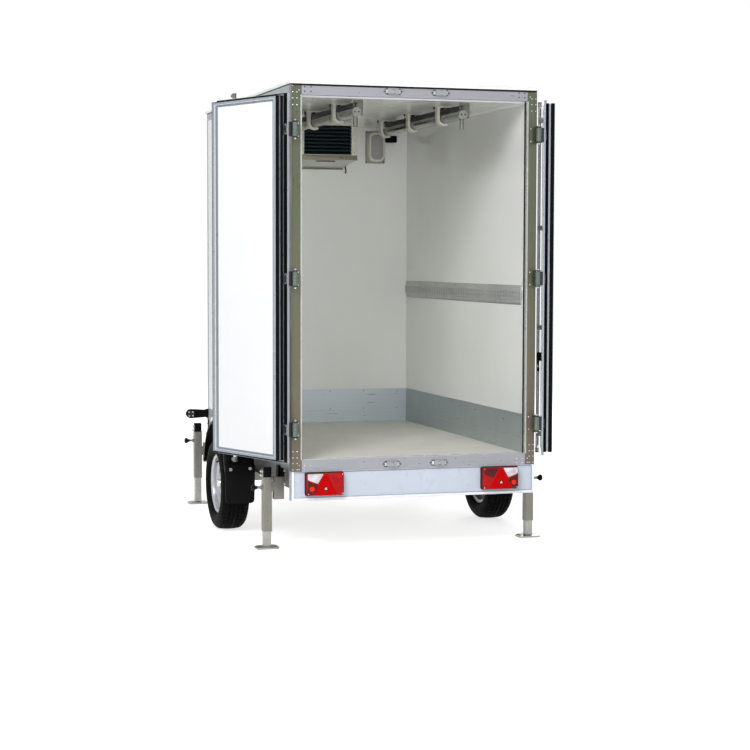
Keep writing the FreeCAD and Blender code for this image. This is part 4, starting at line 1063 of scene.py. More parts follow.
    # Near-black: painted shade in slots, holes and the cooler's hollows, and also the fan's hub and the
    # marker lamps' red lens.
    DARK = Finish(
        "black_and_painted_shade", "black_plastic", (0.02, 0.025, 0.035), 0.6, tint=0.2, patches=8.0,
    )
    LAMP_PLATE = Finish(
        "grey_plate", "lamp_grey", (0.62, 0.615, 0.575), 0.40, tint=0.03, patches=9.0,
        grit=(500.0, 0.00004),
    )
    LAMP_RING = Finish(
        "pale_ring", "lamp_grey", (0.86, 0.855, 0.81), 0.34, tint=0.02, patches=9.0, coat=0.1,
    )
    LAMP_GLASS = Finish(
        "grey_glass", "lamp_grey", (0.63, 0.63, 0.63), 0.38, tint=0.03, patches=12.0,
        grain=(8.0, 8.0, 120.0), streaks=(0.00003, 0.03),
    )
    COOLER = Finish(
        "cooler_cover", "cooling_white", (0.90, 0.905, 0.91), 0.30, tint=0.02, patches=2.5,
        grit=(300.0, 0.00004), coat=0.3, dirt=(0.05, 2.6), dirt_colour=(0.66, 0.64, 0.60),
    )
    STRIP = Finish(
        "warm_strip", "aluminium_profile", (0.56, 0.535, 0.46), 0.34, metallic=0.5, tint=0.04,
        grain=(4.0, 90.0, 90.0), streaks=(0.000004, 0.05),
    )

    def material(self) -> bpy.types.Material:
        """The finish's material, built the first time it is asked for."""
        label = self.value.label
        return bpy.data.materials.get(label) or self.value.build()


@dataclass
class Assembly:
    """A sub-assembly, which turns shapes into finished pieces and dresses the frame's nodes."""

    frame: dict[str, dict]

    def dress(self, finish: Finishes, *nodes: str) -> None:
        """Gives frame nodes a finish.

        Args:
            finish: the finish they get.
            nodes: names of the frame nodes.
        """
        for name in nodes:
            materials = self.frame["nodes"][name].data.materials
            materials.clear()
            materials.append(finish.material())

    def copy_of(self, node: str) -> Shape:
        """A frame node's mesh with its doubles merged and its flat faces joined, in millimetres.

        Args:
            node: the name of the frame node.

        Returns:
            Its mesh as a shape.
        """
        work = bmesh.new()
        work.from_mesh(self.frame["nodes"][node].data)
        bmesh.ops.remove_doubles(work, verts=work.verts, dist=2e-5)
        bmesh.ops.dissolve_limit(
            work, angle_limit=math.radians(0.4), verts=work.verts, edges=work.edges
        )
        work.verts.index_update()
        points = np.array([v.co for v in work.verts], float) * 1000 + (0, MIDDLE_Y, 0)
        rings = [[v.index for v in face.verts] for face in work.faces]
        work.free()
        sizes = sorted({len(ring) for ring in rings})
        groups = [np.array([ring for ring in rings if len(ring) == size]) for size in sizes]
        return Shape(points, tuple(groups))

    def add(
        self,
        name: str,
        shape: Shape,
        finish: Finishes,
        body: str = "trailer",
        replaces: Sequence[str] = (),
        bevel: float = 0.0,
        wall: float = 0.0,
        smooth: float = 32.0,
    ) -> bpy.types.Object:
        """Makes a piece: a mesh in metres in the shared frame, cleaned, shaded and dressed.

        Args:
            name: the piece's name.
            shape: its surface in millimetres.
            finish: its finish.
            body: the frame body it rides on.
            replaces: frame nodes it stands for.
            bevel: the width of a rounding on its edges, in millimetres.
            wall: the thickness an open sheet gets, in millimetres.
            smooth: the angle in degrees past which an edge stays sharp.

        Returns:
            The piece.
        """
        mesh = bpy.data.meshes.new(name)
        points = (shape.points - (0, MIDDLE_Y, 0)) / 1000
        faces = [face for group in shape.faces for face in group.tolist()]
        mesh.from_pydata(points.tolist(), [], faces)
        work = bmesh.new()
        work.from_mesh(mesh)
        bmesh.ops.remove_doubles(work, verts=work.verts, dist=1e-6)
        bmesh.ops.recalc_face_normals(work, faces=work.faces)
        work.to_mesh(mesh)
        work.free()
        mesh.shade_smooth()
        mesh.set_sharp_from_angle(angle=math.radians(smooth))
        mesh.materials.append(finish.material())
        piece = bpy.data.objects.new(name, mesh)
        bpy.context.scene.collection.objects.link(piece)
        if wall:
            solid = piece.modifiers.new("Wall", "SOLIDIFY")
            solid.thickness = wall / 1000
            solid.offset = 0.0
        if bevel:
            soft = piece.modifiers.new("Edges", "BEVEL")
            soft.width = bevel / 1000
            soft.segments = 2
            soft.limit_method = "ANGLE"
            soft.angle_limit = math.radians(smooth)
            soft.harden_normals = True
        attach(piece, body)
        if replaces:
            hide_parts(*replaces)
        LOG.info("%s: %d points", name, len(mesh.vertices))
        return piece

    def soften(
        self, finish: Finishes, *nodes: str, body: str = "trailer", bevel: float = 1.2
    ) -> None:
        """Stands a copy with rounded edges in for each frame node."""
        for node in nodes:
            self.add(f"{node}_dressed", self.copy_of(node), finish, body, (node,), bevel)


@dataclass
class BoxBody(Assembly):
    """The insulated box: panels, inside lining, corner profiles and the dark line under the lip."""

    half: float = 775.0
    inside: float = 714.0
    back: float = 50.0
    front_in: float = 2399.0
    length: float = 2468.0
    floor_top: float = 568.0
    ceiling: float = 2723.0
    roof_top: float = 2792.0
    lip_low: float = 2796.0
    lining: float = 0.8

    def panels(self) -> None:
        """Dresses the structural panels and rounds the roof's and profiles' edges."""
        self.dress(Finishes.PANEL, "wall_left", "wall_right", "wall_front")
        self.soften(Finishes.PANEL, "roof", bevel=1.5)
        self.soften(Finishes.PROFILE, "edge_profiles", bevel=0.5)
        self.dress(Finishes.FLOOR, "floor")

    def inside_lining(self) -> None:
        """Thin cream sheets over the walls and the ceiling inside, with round cove corners."""
        x, t = self.inside, self.lining
        low, high = self.floor_top, self.ceiling
        side = block(-x, -x + t, self.back + 1, self.front_in, low, high)
        self.add("lining_sides", side.both(), Finishes.LINING)
        front = block(-x + t, x - t, self.front_in - t, self.front_in, low, high - t)
        self.add("lining_front", front, Finishes.LINING)
        top = block(-x + t, x - t, self.back + 1, self.front_in - t, high - t, high)
        self.add("lining_ceiling", top, Finishes.CEILING)
        turn = np.linspace(0, math.pi / 2, 7)
        cove = 14 * np.stack([1 - np.sin(turn), np.cos(turn) - 1], -1) + (-x + t, high - t)
        outline = [(-x + t, high - t), *cove.tolist()]
        self.add("ceiling_coves", prism(outline, Axis.Y, 53, self.front_in - t).both(), Finishes.LINING)

    def roof_line(self) -> None:
        """The dark gap between the roof and its lip, and the dark strip over the rear frame."""
        z0, z1 = self.roof_top + 0.3, self.lip_low - 0.3
        rings = []
        for inset, z in ((0, z0), (6, z0), (6, z1), (0, z1)):
            x = self.half - 3 - inset
            rings.append((-x, x, 3 + inset, self.length - 3 - inset, z))
        gap = collar(rings)
        level = Shape(gap.points[:, [0, 2, 1]], gap.faces)
        self.add("roof_gap_seal", level, Finishes.BROWN)
        strip = block(-self.half + 1, self.half - 1, -3.0, 0.5, self.roof_top - 7, self.lip_low + 3)
        self.add("roof_edge_strip", strip, Finishes.BROWN, bevel=0.8)

    def build(self) -> None:
        """Makes the whole box."""
        self.panels()
        self.inside_lining()
        self.roof_line()


@dataclass
class RearFrame(Assembly):
    """Posts, header, sill and beam of the rear opening, with hinges, keeps, rivets and seals."""

    half: float = 775.0
    post: float = 62.0
    sill_top: float = 569.0
    header_low: float = 2731.0
    hinges: tuple[float, ...] = (757.0, 1650.0, 2525.0)
    hinge_half: float = 50.0
    keep_x: float = 150.0
    keep_z: tuple[float, float] = (2764.5, 529.7)

    def rivet_places(self) -> dict[str, np.ndarray]:
        """Rivet heads on the rear face as X and Z, for the posts and for the header and sill.

        Returns:
            The places of each group.
        """
        rows_top, rows_low = (2746, 2711, 2672), (622, 585, 551, 513)
        posts = [(x, z) for z in rows_top + rows_low for x in (741, 767)]
        posts += [(729, 2758), (768, 2785), (728, 539), (728, 513)]
        rails = [(x, z) for x in (656, 694) for z in (2778, 2752, 537, 512)]
        found = {}
        for name, pairs in (("posts", posts), ("rails", rails)):
            flat = np.array([(s * x, z) for s in (-1, 1) for x, z in pairs], float)
            found[name] = np.stack([flat[:, 0], np.zeros(len(flat)), flat[:, 1]], -1)
        return found

    def frame_members(self) -> None:
        """Posts, header, sill and beam with their edges rounded, and the rivets, with a painted highlight on
        the beam's lips and the sill's front edge and a painted shadow line inside the lips.
        """
        self.soften(Finishes.POST, "rear_post_left", "rear_post_right", bevel=1.5)
        self.soften(Finishes.HEADER, "header_rail", "sill_rail", bevel=1.2)
        self.soften(Finishes.BEAM, "rear_crossmember", bevel=2.0)
        out, face, low, high = self.half - 1, self.half - 16, 324.0, 340.0
        # The lips are drawn lighter than the beam's face as a painted highlight.
        lips = [block(-out, out, -1.6, 1.0, low, high)]
        lips += [block(x, x + 15, -1.6, 1.0, high, 499) for x in (-out, face)]
        self.add("beam_lips", union(lips), Finishes.LIP_HIGHLIGHT, bevel=0.8)
        # Dark lines just inside the lips: painted shadow.
        shade_strips = [block(-face, face, 2.0, 6.5, high, high + 2.4), block(-face, face, 2.0, 6.5, 492.0, 496.0)]
        shade_strips += [block(x, x + 2.4, 2.0, 6.5, high, 494) for x in (-face, face - 2.4)]
        self.add("beam_shadow_lines", union(shade_strips), Finishes.BEAM_SHADOW)
        # A thin near-white slab along the sill's top edge: a painted highlight.
        reach = self.half - self.post - 1
        step = block(-reach, reach, 1.5, 66, self.sill_top - 1, self.sill_top + 0.35)
        self.add("sill_edge_highlight", step, Finishes.LIP_HIGHLIGHT)
        places = self.rivet_places()
        head = dome(Axis.Y, 4.6, -2.4)
        self.add("post_rivets", head.repeated(places["posts"]), Finishes.BRIGHT)
        low = places["rails"][places["rails"][:, 2] < 1000]
        high = places["rails"][places["rails"][:, 2] > 1000]
        self.add("sill_rivets", head.repeated(low), Finishes.BRIGHT)
        self.add("header_rivets", head.repeated(high), Finishes.SLAT)

    def hinge_gear(self) -> None:
        """Dark ear plates, pin nuts, and the screwed plate behind each hinge."""
        x, y = PIN
        ear = soft_corners(
            [(x - 17.6, y + 20), (x - 17.6, y - 17.6), (x + 17.6, y - 17.6), (x + 17.6, y + 9)], 8
        )
        nut = hex_head(Axis.Z, 8.0, 9.0)
        flipped = Shape(nut.points * (1, 1, -1), nut.faces)
        ears, nuts, plates, screws = [], [], [], []
        for z in self.hinges:
            top, low = z + self.hinge_half, z - self.hinge_half
            ears += [prism(ear, Axis.Z, top - 5.4, top + 0.5), prism(ear, Axis.Z, low - 0.5, low + 5.4)]
            nuts += [nut.moved(x, y, top + 0.5), flipped.moved(x, y, low - 0.5)]
            outline = soft_corners(rect(-773, -728, low + 1, top - 1), 5)
            plates.append(pillow(outline, Axis.Y, -3.5, -4.8, 0.8))
            screws.append(dome(Axis.Y, 4.5, -1.1).repeated([(-736, -4.8, z + s * 38) for s in (-1, 1)]))
        self.add("hinge_ears", union(ears).both(), Finishes.DARK_STEEL, bevel=0.8)
        self.add("hinge_nuts", union(nuts).both(), Finishes.BRIGHT)
        self.add("hinge_plates", union(plates).both(), Finishes.POST)
        self.add("hinge_screws", union(screws).both(), Finishes.BRIGHT)

    def opening_seals(self) -> None:
        """The silver edge strip and the dark seal between the posts and the load space."""
        inner = self.half - self.post
        low, high = self.sill_top, self.header_low
        strip = block(-inner - 1, -inner + 1.6, -1.2, 24, low + 0.5, high - 0.5)
        strip += block(-inner - 7, -inner - 1, -1.2, 0.6, low + 0.5, high - 0.5)
        strip += block(-inner - 0.6, -inner + 2.4, 46.5, 51, low - 0.5, high - 8)
        self.add("post_edge_strips", strip.both(), Finishes.TRIM, bevel=0.5)
        seal = block(-inner - 0.6, -inner + 3.0, 25, 46, low - 0.5, high - 8)
        self.add("post_seals", seal.both(), Finishes.BROWN, bevel=1.0)

    def keeps(self) -> None:
        """The lock keeps: a pointed pad, a slotted boss, a dark pad of painted shade in its slot and a screw
        at each point.
        """
        point = np.array([(-62, 0), (-34, -21), (34, -21), (62, 0), (34, 21), (-34, 21)], float)
        edges, pads, bosses, slots, screws = [], [], [], [], []
        for side in (-1, 1):
            x = side * self.keep_x
            for z in self.keep_z:
                outline = soft_corners(point + (x, z), 6)
                edges.append(pillow(outline, Axis.Y, -0.5, -3.2, 0.6))
                pads.append(pillow(shrunk(outline, 4.2), Axis.Y, -2, -5.6, 1.0))
                edges += [block(x - 46, x + 46, -6.4, -4, z + up - 1.8, z + up + 1.8) for up in (-14, 14)]
                middle = x + side * 12
                boss = soft_corners(rect(middle - 27, middle + 27, z - 12, z + 12), 4)
                bosses.append(pillow(boss, Axis.Y, -4, -15.6, 2.0))
                # A dark pad in the boss's slot: painted shade.
                slot = soft_corners(rect(-5.5, 5.5, -12, 12), 4) + (x - side * 24, z)
                slots.append(pillow(slot, Axis.Y, -4, -12.0, 1.0))
                screws.append(dome(Axis.Y, 5.0, -2.6).repeated([(x + s * 50, -5.2, z) for s in (-1, 1)]))
        self.add("keep_edges", union(edges), Finishes.BROWN)
        self.add("keep_pads", union(pads), Finishes.BRIGHT)
        self.add("keep_bosses", union(bosses), Finishes.KEEP)
        self.add("keep_slot_shade", union(slots), Finishes.DARK)
        self.add("keep_screws", union(screws), Finishes.SLAT)

    def build(self) -> None:
        """Makes the whole rear frame."""
        self.frame_members()
        self.hinge_gear()
        self.opening_seals()
        self.keeps()


@dataclass
class Door(Assembly):
    """One door leaf in its closed place: X along the leaf from the pin, Y towards the load space."""

    side: int
    name: str
    leaf: tuple[float, float] = (16.5, 763.5)
    plug: tuple[float, float] = (62.0, 735.5)
    low: float = 577.6
    high: float = 2717.6
    over: float = 20.0
    flange: float = 11.0
    deep: float = 67.4
    rim: float = 30.0
    free_rim: float = 66.0
    rod_at: float = 616.5
    rod_off: float = -20.0
    guides: tuple[float, ...] = (637.6, 1327.6, 1967.6, 2657.6)
    hinges: tuple[float, ...] = (757.0, 1650.0, 2525.0)

    def put(
        self,
        label: str,
        shape: Shape,
        finish: Finishes,
        replaces: Sequence[str] = (),
        bevel: float = 0.0,
    ) -> None:
        """Adds a piece of this leaf, swung open with it.

        Args:
            label: the piece's name without its leaf.
            shape: its shape on the closed leaf.
            finish: its finish.
            replaces: the frame nodes it stands for.
            bevel: the width of its worn edges.
        """
        nodes = [f"{node}_{self.name}" for node in replaces]
        body = f"door_{self.name}"
        self.add(f"{label}_{self.name}", shape.hung(self.side), finish, body, nodes, bevel)

    def ring(self, share: float, depth: float, out: float = 0.0) -> tuple[float, ...]:
        """The plug's outline at a depth, drawn in by a share of the rim's width on each side.

        Args:
            share: 0 at the plug's edge and 1 at the panel.
            depth: the place between the leaf's outer and inner face.
            out: a distance that the outline stands out by on every side.

        Returns:
            The rectangle and its depth.
        """
        inset, free = share * self.rim - out, share * self.free_rim - out
        return (self.plug[0] + inset, self.plug[1] - free, self.low + inset, self.high - inset, depth)

    def aluminium(self) -> None:
        """The rim and flange as one mitred section, with a bead and a lower band on its face."""
        edge = (self.leaf[0], self.leaf[1], self.low - self.over, self.high + self.over)
        lip = (edge[0] + 2, edge[1] - 2, edge[2] + 2, edge[3] - 2)
        face = self.deep
        flange = self.flange
        section = [(*lip, 0.0), (*edge, 1.5), (*edge, flange - 1.5), (*lip, flange)]
        section.append(self.ring(0, flange))
        steps = ((0, 3), (0.08, 0), (0.42, 0), (0.46, 2), (0.97, 2), (1, 4))
        section += [self.ring(share, face - drop) for share, drop in steps]
        section.append(self.ring(1, 0.0))
        self.put("door_rim", collar(section), Finishes.DOOR_RIM, ("door_frame",))
        bead = ((0.42, 2), (0.44, 0), (0.54, 0), (0.56, 2))
        band = ((0.57, 2.2), (0.58, 1.4), (0.95, 1.4), (0.96, 2.2))
        for label, steps, finish in (
            ("door_bead", bead, Finishes.BEAD), ("door_band", band, Finishes.DOOR_BAND)
        ):
            self.put(label, collar([self.ring(share, face - drop) for share, drop in steps]), finish)
        x0, x1, z0, z1, _ = self.ring(1, 0.0)
        panel = block(x0, x1, 2.0, face - 2.0, z0, z1)
        self.put("door_sheet", panel, Finishes.PANEL, ("door_panel",), 1.0)

    def seals(self) -> None:
        """Ribbed rubber round the plug with two lips, and the flat gasket on the flange."""
        for label, start, end, out in (("door_lips", 42.0, 64.6, 11.0), ("door_foot_lips", 14.0, 30.0, 8.0)):
            section = []
            for depth in np.linspace(start, end, 18):
                share = (depth - start) / (end - start)
                rib = 3.0 + 0.9 * math.cos(share * 6 * math.pi)
                lip = out * max(0.0, 1 - abs(share - 0.35) / 0.22)
                plain, wide = self.ring(0, depth, rib), self.ring(0, depth, max(rib, lip))
                section.append((plain[0], wide[1], *plain[2:]))
            section += [self.ring(0, end + 0.2, 0.2), self.ring(0, start - 0.2, 0.2)]
            replaced = ("door_seal",) if start > 40 else ()
            self.put(label, collar(section), Finishes.RUBBER, replaced)
        edge = (self.leaf[0], self.leaf[1], self.low - self.over, self.high + self.over)
        depth = self.flange
        wide = (edge[0] + 3, edge[1] - 3, edge[2] + 3, edge[3] - 3)
        gasket = [
            (*wide, depth - 0.2),
            (*wide, depth + 3),
            self.ring(0, depth + 3, 12.0),
            self.ring(0, depth - 0.2, 12.0),
        ]
        self.put("door_gasket", collar(gasket), Finishes.RUBBER)

    def lock_gear(self) -> None:
        """The lock rod with its winged cams, its guides, and the black handle with its hub."""
        at, off = self.rod_at, self.rod_off
        low, high = self.low - self.over - 44, self.high + self.over + 36
        rod = disc(Axis.Z, (at, off, low), 11, high - low, 20)
        wing = [(at - 11, -9), (at - 11, -22), (at - 4, -29), (at + 11, -29), (at + 26, -23), (at + 26, -9)]
        cams = []
        for z in (low, high - 30):
            cams.append(prism(soft_corners(wing, 4), Axis.Z, z + 6, z + 24))
            sleeve = [(0, 0), (14, 0), (14, 5), (12, 7), (12, 23), (14, 25), (14, 30), (0, 30)]
            cams.append(lathe(sleeve, Axis.Z, (at, off, z), 20))
        self.put("lock_rod", rod, Finishes.BRIGHT)
        self.put("rod_cams", union(cams), Finishes.CAM, (), 1.0)
        guides = []
        for z in self.guides:
            guides.append(pad((at - 42, at + 42, z - 17, z + 17), 8, Axis.Y, 2, -4, 1.5))
            outline = soft_corners([(at - 26, 0), (at - 15.6, -28.8), (at + 15.6, -28.8), (at + 26, 0)], 5)
            guides.append(prism(outline, Axis.Z, z - 15, z + 15))
        self.put("rod_guides", union(guides), Finishes.ZINC, (), 1.0)
        places = [(at + s * 35, -4, z + t * 9) for z in self.guides for s in (-1, 1) for t in (-1, 1)]
        self.put("guide_screws", dome(Axis.Y, 4.0, -2.2).repeated(places), Finishes.BRIGHT)
        hub_z = self.low + 560
        hub = pad((at - 22, at + 22, hub_z - 28, hub_z + 28), 9, Axis.Y, 2, -28, 4)
        share = np.linspace(0, 1, 14)[:, None]
        drop = 62 * np.clip(share / 0.3, 0, 1) ** 1.2
        across = soft_corners(rect(-1, 1, -1, 1), 0.5)
        grid = np.empty((14, len(across), 3))
        grid[..., 0] = at - 330 * share
        grid[..., 1] = off + across[:, 0] * 8
        grid[..., 2] = hub_z - drop + across[:, 1] * (17 - 3.5 * share)
        self.put("door_handle", hub + lattice(grid, wrap_v=True, caps=True), Finishes.PLASTIC)

    def hinge_arms(self) -> None:
        """Hinge barrels on the pin, the straps that carry the leaf, and the slotted end plates, their slots
        drawn as dark pads of painted shade.
        """
        mid, pin = 43.0, -LEAF_FACE
        arm = [(11, pin), (17, pin), (17, -6), (56.5, -6), (56.5, 0), (11, 0)]
        barrels, arms, plates, slots = [], [], [], []
        for z in self.hinges:
            barrels.append(disc(Axis.Z, (0, pin, z - mid), 17, 2 * mid, 32))
            arms.append(prism(soft_corners(arm, 2.5), Axis.Z, z - mid, z + mid))
            plates.append(pad((20, 56, z - 32, z + 32), 6, Axis.Y, 12, 14.8, 0.8))
            # Dark pads in the plates' slots: painted shade.
            slots.append(pad((29, 44, z - 20, z + 20), 7, Axis.Y, 14, 15.0, 0.1))
        self.put("hinge_barrels", union(barrels), Finishes.BARREL)
        self.put("hinge_straps", union(arms), Finishes.DARK_STEEL, (), 0.6)
        self.put("hinge_keepers", union(plates), Finishes.BRIGHT)
        self.put("hinge_slot_shade", union(slots), Finishes.DARK)

    def build(self) -> None:
        """Makes the whole leaf."""
        self.aluminium()
        self.seals()
        self.lock_gear()
        self.hinge_arms()


@dataclass
class Wheel(Assembly):
    """One wheel: tyre with its tread, and steel rim with vents, bolts and cap."""

    side: int
    name: str
    centre: tuple[float, float, float] = (-909.0, 1176.0, 298.0)
    steps: int = 324
    groove: float = 7.0
    grooves: tuple[float, ...] = (-40.0, -14.0, 14.0, 40.0)
    bolts: int = 5
    bolt_ring: float = 56.0
    vents: int = 12

    def tyre(self) -> Shape:
        """The tyre as a function of the angle and the way round its section.

        The section is the case's outline. Where it is tread, the radius drops by the groove's
        depth in four rings, and by less in slanting cuts that repeat with the angle.

        Returns:
            The closed ring.
        """
        side = [
            (176.5, 57), (183, 60.5), (191, 63), (200, 79), (207, 83.5), (209.5, 87), (212, 87),
            (214.5, 86), (224, 91.5), (236, 94.5), (250, 93.6), (262, 90.5), (269, 87.5), (271, 88),
            (274, 86), (281, 80), (287, 73), (291.5, 66),
        ]
        crown = [(298 - 0.00135 * x * x, x) for x in np.arange(60, -61, -3.0)]
        profile = np.array(side + crown + [(r, -x) for r, x in reversed(side)])
        radius, across = profile.T
        reach = (np.abs(across) < 78) & (radius > 278)
        in_groove = reach & (np.abs(across[:, None] - np.array(self.grooves)).min(axis=1) < 3.2)
        angle = np.arange(self.steps) * (2 * math.pi / self.steps)
        slant = np.where(np.abs(across) > 44, 0.0, across * 0.014)
        phase = (angle[:, None] * self.steps / 6 / (2 * math.pi) + slant[None, :]) % 1.0
        cut = (phase < 0.3) & reach[None, :] & (np.abs(across) > 17)[None, :]
        depth = np.maximum(np.where(cut, 4.0, 0.0), np.where(in_groove, self.groove, 0.0)[None, :])
        full = radius[None, :] - depth
        grid = np.empty((self.steps, len(radius), 3))
        grid[..., 0] = self.centre[0] + across
        grid[..., 1] = self.centre[1] + full * np.cos(angle)[:, None]
        grid[..., 2] = self.centre[2] + full * np.sin(angle)[:, None]
        return lattice(grid, wrap_u=True, wrap_v=True)

    def barrel(self) -> Shape:
        """The rim's barrel with rolled lips: a closed section spun about the axle.

        Returns:
            The barrel.
        """
        section = [
            (190, -70), (191, -66), (189, -64), (180, -61), (176, -58), (174, -40), (158, -28),
            (158, 10), (174, 26), (176, 58), (180, 61), (189, 64), (191, 66), (190, 70), (186, 70.5),
            (183, 66), (173, 62), (171, 56), (169.5, 28), (154, 12), (154, -26), (169.5, -38),
            (171, -56), (173, -62), (183, -66), (186, -70.5),
        ]
        return lathe(section, Axis.X, self.centre, 96, loop=True)

    def dish(self) -> Shape:
        """The wheel's disc: a sheet of rings and angles with the vent cells left out.

        Its height follows the profile: flat at the bolts, a raised ring, then down to the barrel.

        Returns:
            The disc with its vents.
        """
        radii = np.array([30, 34, 44, 56, 66, 72, 80, 90, 100, 108, 116, 126, 134, 142, 150, 156.0])
        heights = np.array([27, 30, 31, 31, 30, 33, 37, 36, 31, 26, 22, 19, 17, 15, 12, 6.0])
        steps = self.vents * 8
        angle = np.arange(steps + 1) * (2 * math.pi / steps)
        grid = np.empty((steps + 1, len(radii), 3))
        grid[..., 0] = self.centre[0] - heights
        grid[..., 1] = self.centre[1] + radii * np.cos(angle)[:, None]
        grid[..., 2] = self.centre[2] + radii * np.sin(angle)[:, None]
        cell = np.arange(steps)[:, None] % 8
        level = np.arange(len(radii) - 1)[None, :]
        return pierced(grid, (cell >= 2) & (cell < 6) & (level >= 9) & (level < 12))

    def hub(self) -> Shape:
        """Wheel bolts on their ring.

        Returns:
            The bolts.
        """
        x, y, z = self.centre
        angle = np.arange(self.bolts) * (2 * math.pi / self.bolts) + 0.3
        zero = np.zeros(self.bolts)
        places = np.stack(
            [zero + x - 31, y + self.bolt_ring * np.cos(angle), z + self.bolt_ring * np.sin(angle)], -1
        )
        bolt = lathe([(0, -13), (6, -13), (8.6, -11), (8.6, -3), (12, 0), (0, 0)], Axis.X, steps=6)
        return bolt.repeated(places)

    def cap(self) -> Shape:
        """The round grease cap."""
        profile = [(0, -70), (14, -70), (24, -66), (29, -58), (30, -48), (30, -28), (31, -24), (0, -24)]
        return lathe(profile, Axis.X, self.centre, 40)

    def valve(self) -> Shape:
        """The tyre valve, through the outer rim."""
        x, y, z = self.centre
        return tube([(x - 40, y + 40, z + 146), (x - 52, y + 38, z + 142), (x - 66, y + 36, z + 136)], 4.5)

    def build(self) -> None:
        """Makes the whole wheel."""
        body, name = f"wheel_{self.name}", self.name
        pieces = (
            (f"tyre_{name}_tread", self.tyre(), Finishes.TYRE, (f"tyre_{name}",), 0.0, 38.0),
            (f"rim_{name}_barrel", self.barrel(), Finishes.WHEEL, (f"rim_{name}",), 0.0, 32.0),
            (f"rim_{name}_dish", self.dish(), Finishes.WHEEL, (), 4.0, 50.0),
            (f"wheel_{name}_bolts", self.hub(), Finishes.BOLT, (), 0.0, 32.0),
            (f"wheel_{name}_cap", self.cap(), Finishes.BOLT, (), 0.0, 32.0),
            (f"wheel_{name}_valve", self.valve(), Finishes.RUBBER, (), 0.0, 32.0),
        )
        for label, shape, finish, replaced, wall, smooth in pieces:
            self.add(label, shape.on(self.side), finish, body, replaced, wall=wall, smooth=smooth)


@dataclass
class Mudguards(Assembly):
    """Both arched guards with pressed grooves and rolled lips, their flaps, lugs and fixings."""

    axle_y: float = 1176.0
    middle_z: float = 369.0
    radius: float = 345.0
    inner: float = -805.0
    outer: float = -1000.0
    span: tuple[float, float] = (7.2, 169.8)
    flap_z: tuple[float, float] = (209.0, 452.0)
    fold_z: float = 408.0

    def arch(self) -> Shape:
        """The guard's section, skirt, crown with two grooves and lip, swept round the wheel.

        A point lies at the section's radius along the sweep's angle, and at its X.

        Returns:
            The closed guard.
        """
        top, inner, outer = self.radius, self.inner, self.outer
        section = [
            (top - 70, inner), (top - 5, inner), (top - 1, inner - 2), (top, inner - 6),
            (top, inner - 40), (top - 3, inner - 43), (top - 3, inner - 51), (top, inner - 54),
            (top, outer + 54), (top - 3, outer + 51), (top - 3, outer + 43), (top, outer + 40),
            (top, outer + 12), (top - 3, outer + 5), (top - 8, outer + 1), (top - 14, outer),
            (top - 23, outer), (top - 24, outer + 2), (top - 23, outer + 4), (top - 14, outer + 4),
            (top - 7, outer + 7), (top - 4, outer + 12), (top - 4, inner - 6), (top - 6, inner - 4),
            (top - 70, inner - 4),
        ]
        reach, across = np.array(section).T
        angle = np.radians(np.linspace(*self.span, 90))[:, None]
        grid = np.empty((90, len(section), 3))
        grid[..., 0] = across
        grid[..., 1] = self.axle_y + reach * np.cos(angle)
        grid[..., 2] = self.middle_z + reach * np.sin(angle)
        return lattice(grid, wrap_v=True, caps=True)

    def flap(self) -> Shape:
        """The rubber flap: round lower corners, a seat under the guard and a ridge at the fold.

        Returns:
            The flap on the right.
        """
        back = self.axle_y - self.radius
        low, high = self.flap_z
        left, right = self.outer, self.inner
        fold = self.fold_z
        foot = [(left + 5, low), (right - 5, low), (right, fold)]
        outline = soft_corners([*foot, (right, high), (left, high), (left, fold)], 26)
        sheet = pillow(outline, Axis.Y, back, back - 6, 1.2)
        seat = pad((left, right, high - 42, high), 4, Axis.Y, back + 12, back, 2)
        ridge = tube([(left + 3, back - 5, fold), (right - 3, back - 5, fold)], 2.6)
        return sheet + seat + ridge

    def lugs(self) -> Shape:
        """Brackets between the box and the guard.

        Returns:
            The brackets on the right.
        """
        z = self.middle_z + self.radius * 0.6
        lugs = []
        for s in (-1, 1):
            y = self.axle_y + s * self.radius * 0.68
            outline = soft_corners(rect(y - 25, y + 25, z - 20, z + 20), 6)
            lugs.append(prism(outline, Axis.X, -773.0, self.inner - 1))
        return union(lugs)

    def build(self) -> None:
        """Makes both guards."""
        guard = self.arch() + self.flap()
        self.add("mudguard_shells", guard.both(), Finishes.PLASTIC, replaces=("mudguards",), smooth=40)
        self.add("mudguard_lugs", self.lugs().both(), Finishes.ZINC, bevel=1.5)
        back = self.axle_y - self.radius - 6
        places = [(-964, back, 428), (-838, back, 431)]
        bolts = hex_head(Axis.Y, 7.0, -6.0).repeated(places)
        self.add("flap_bolts", bolts.both(), Finishes.BOLT)


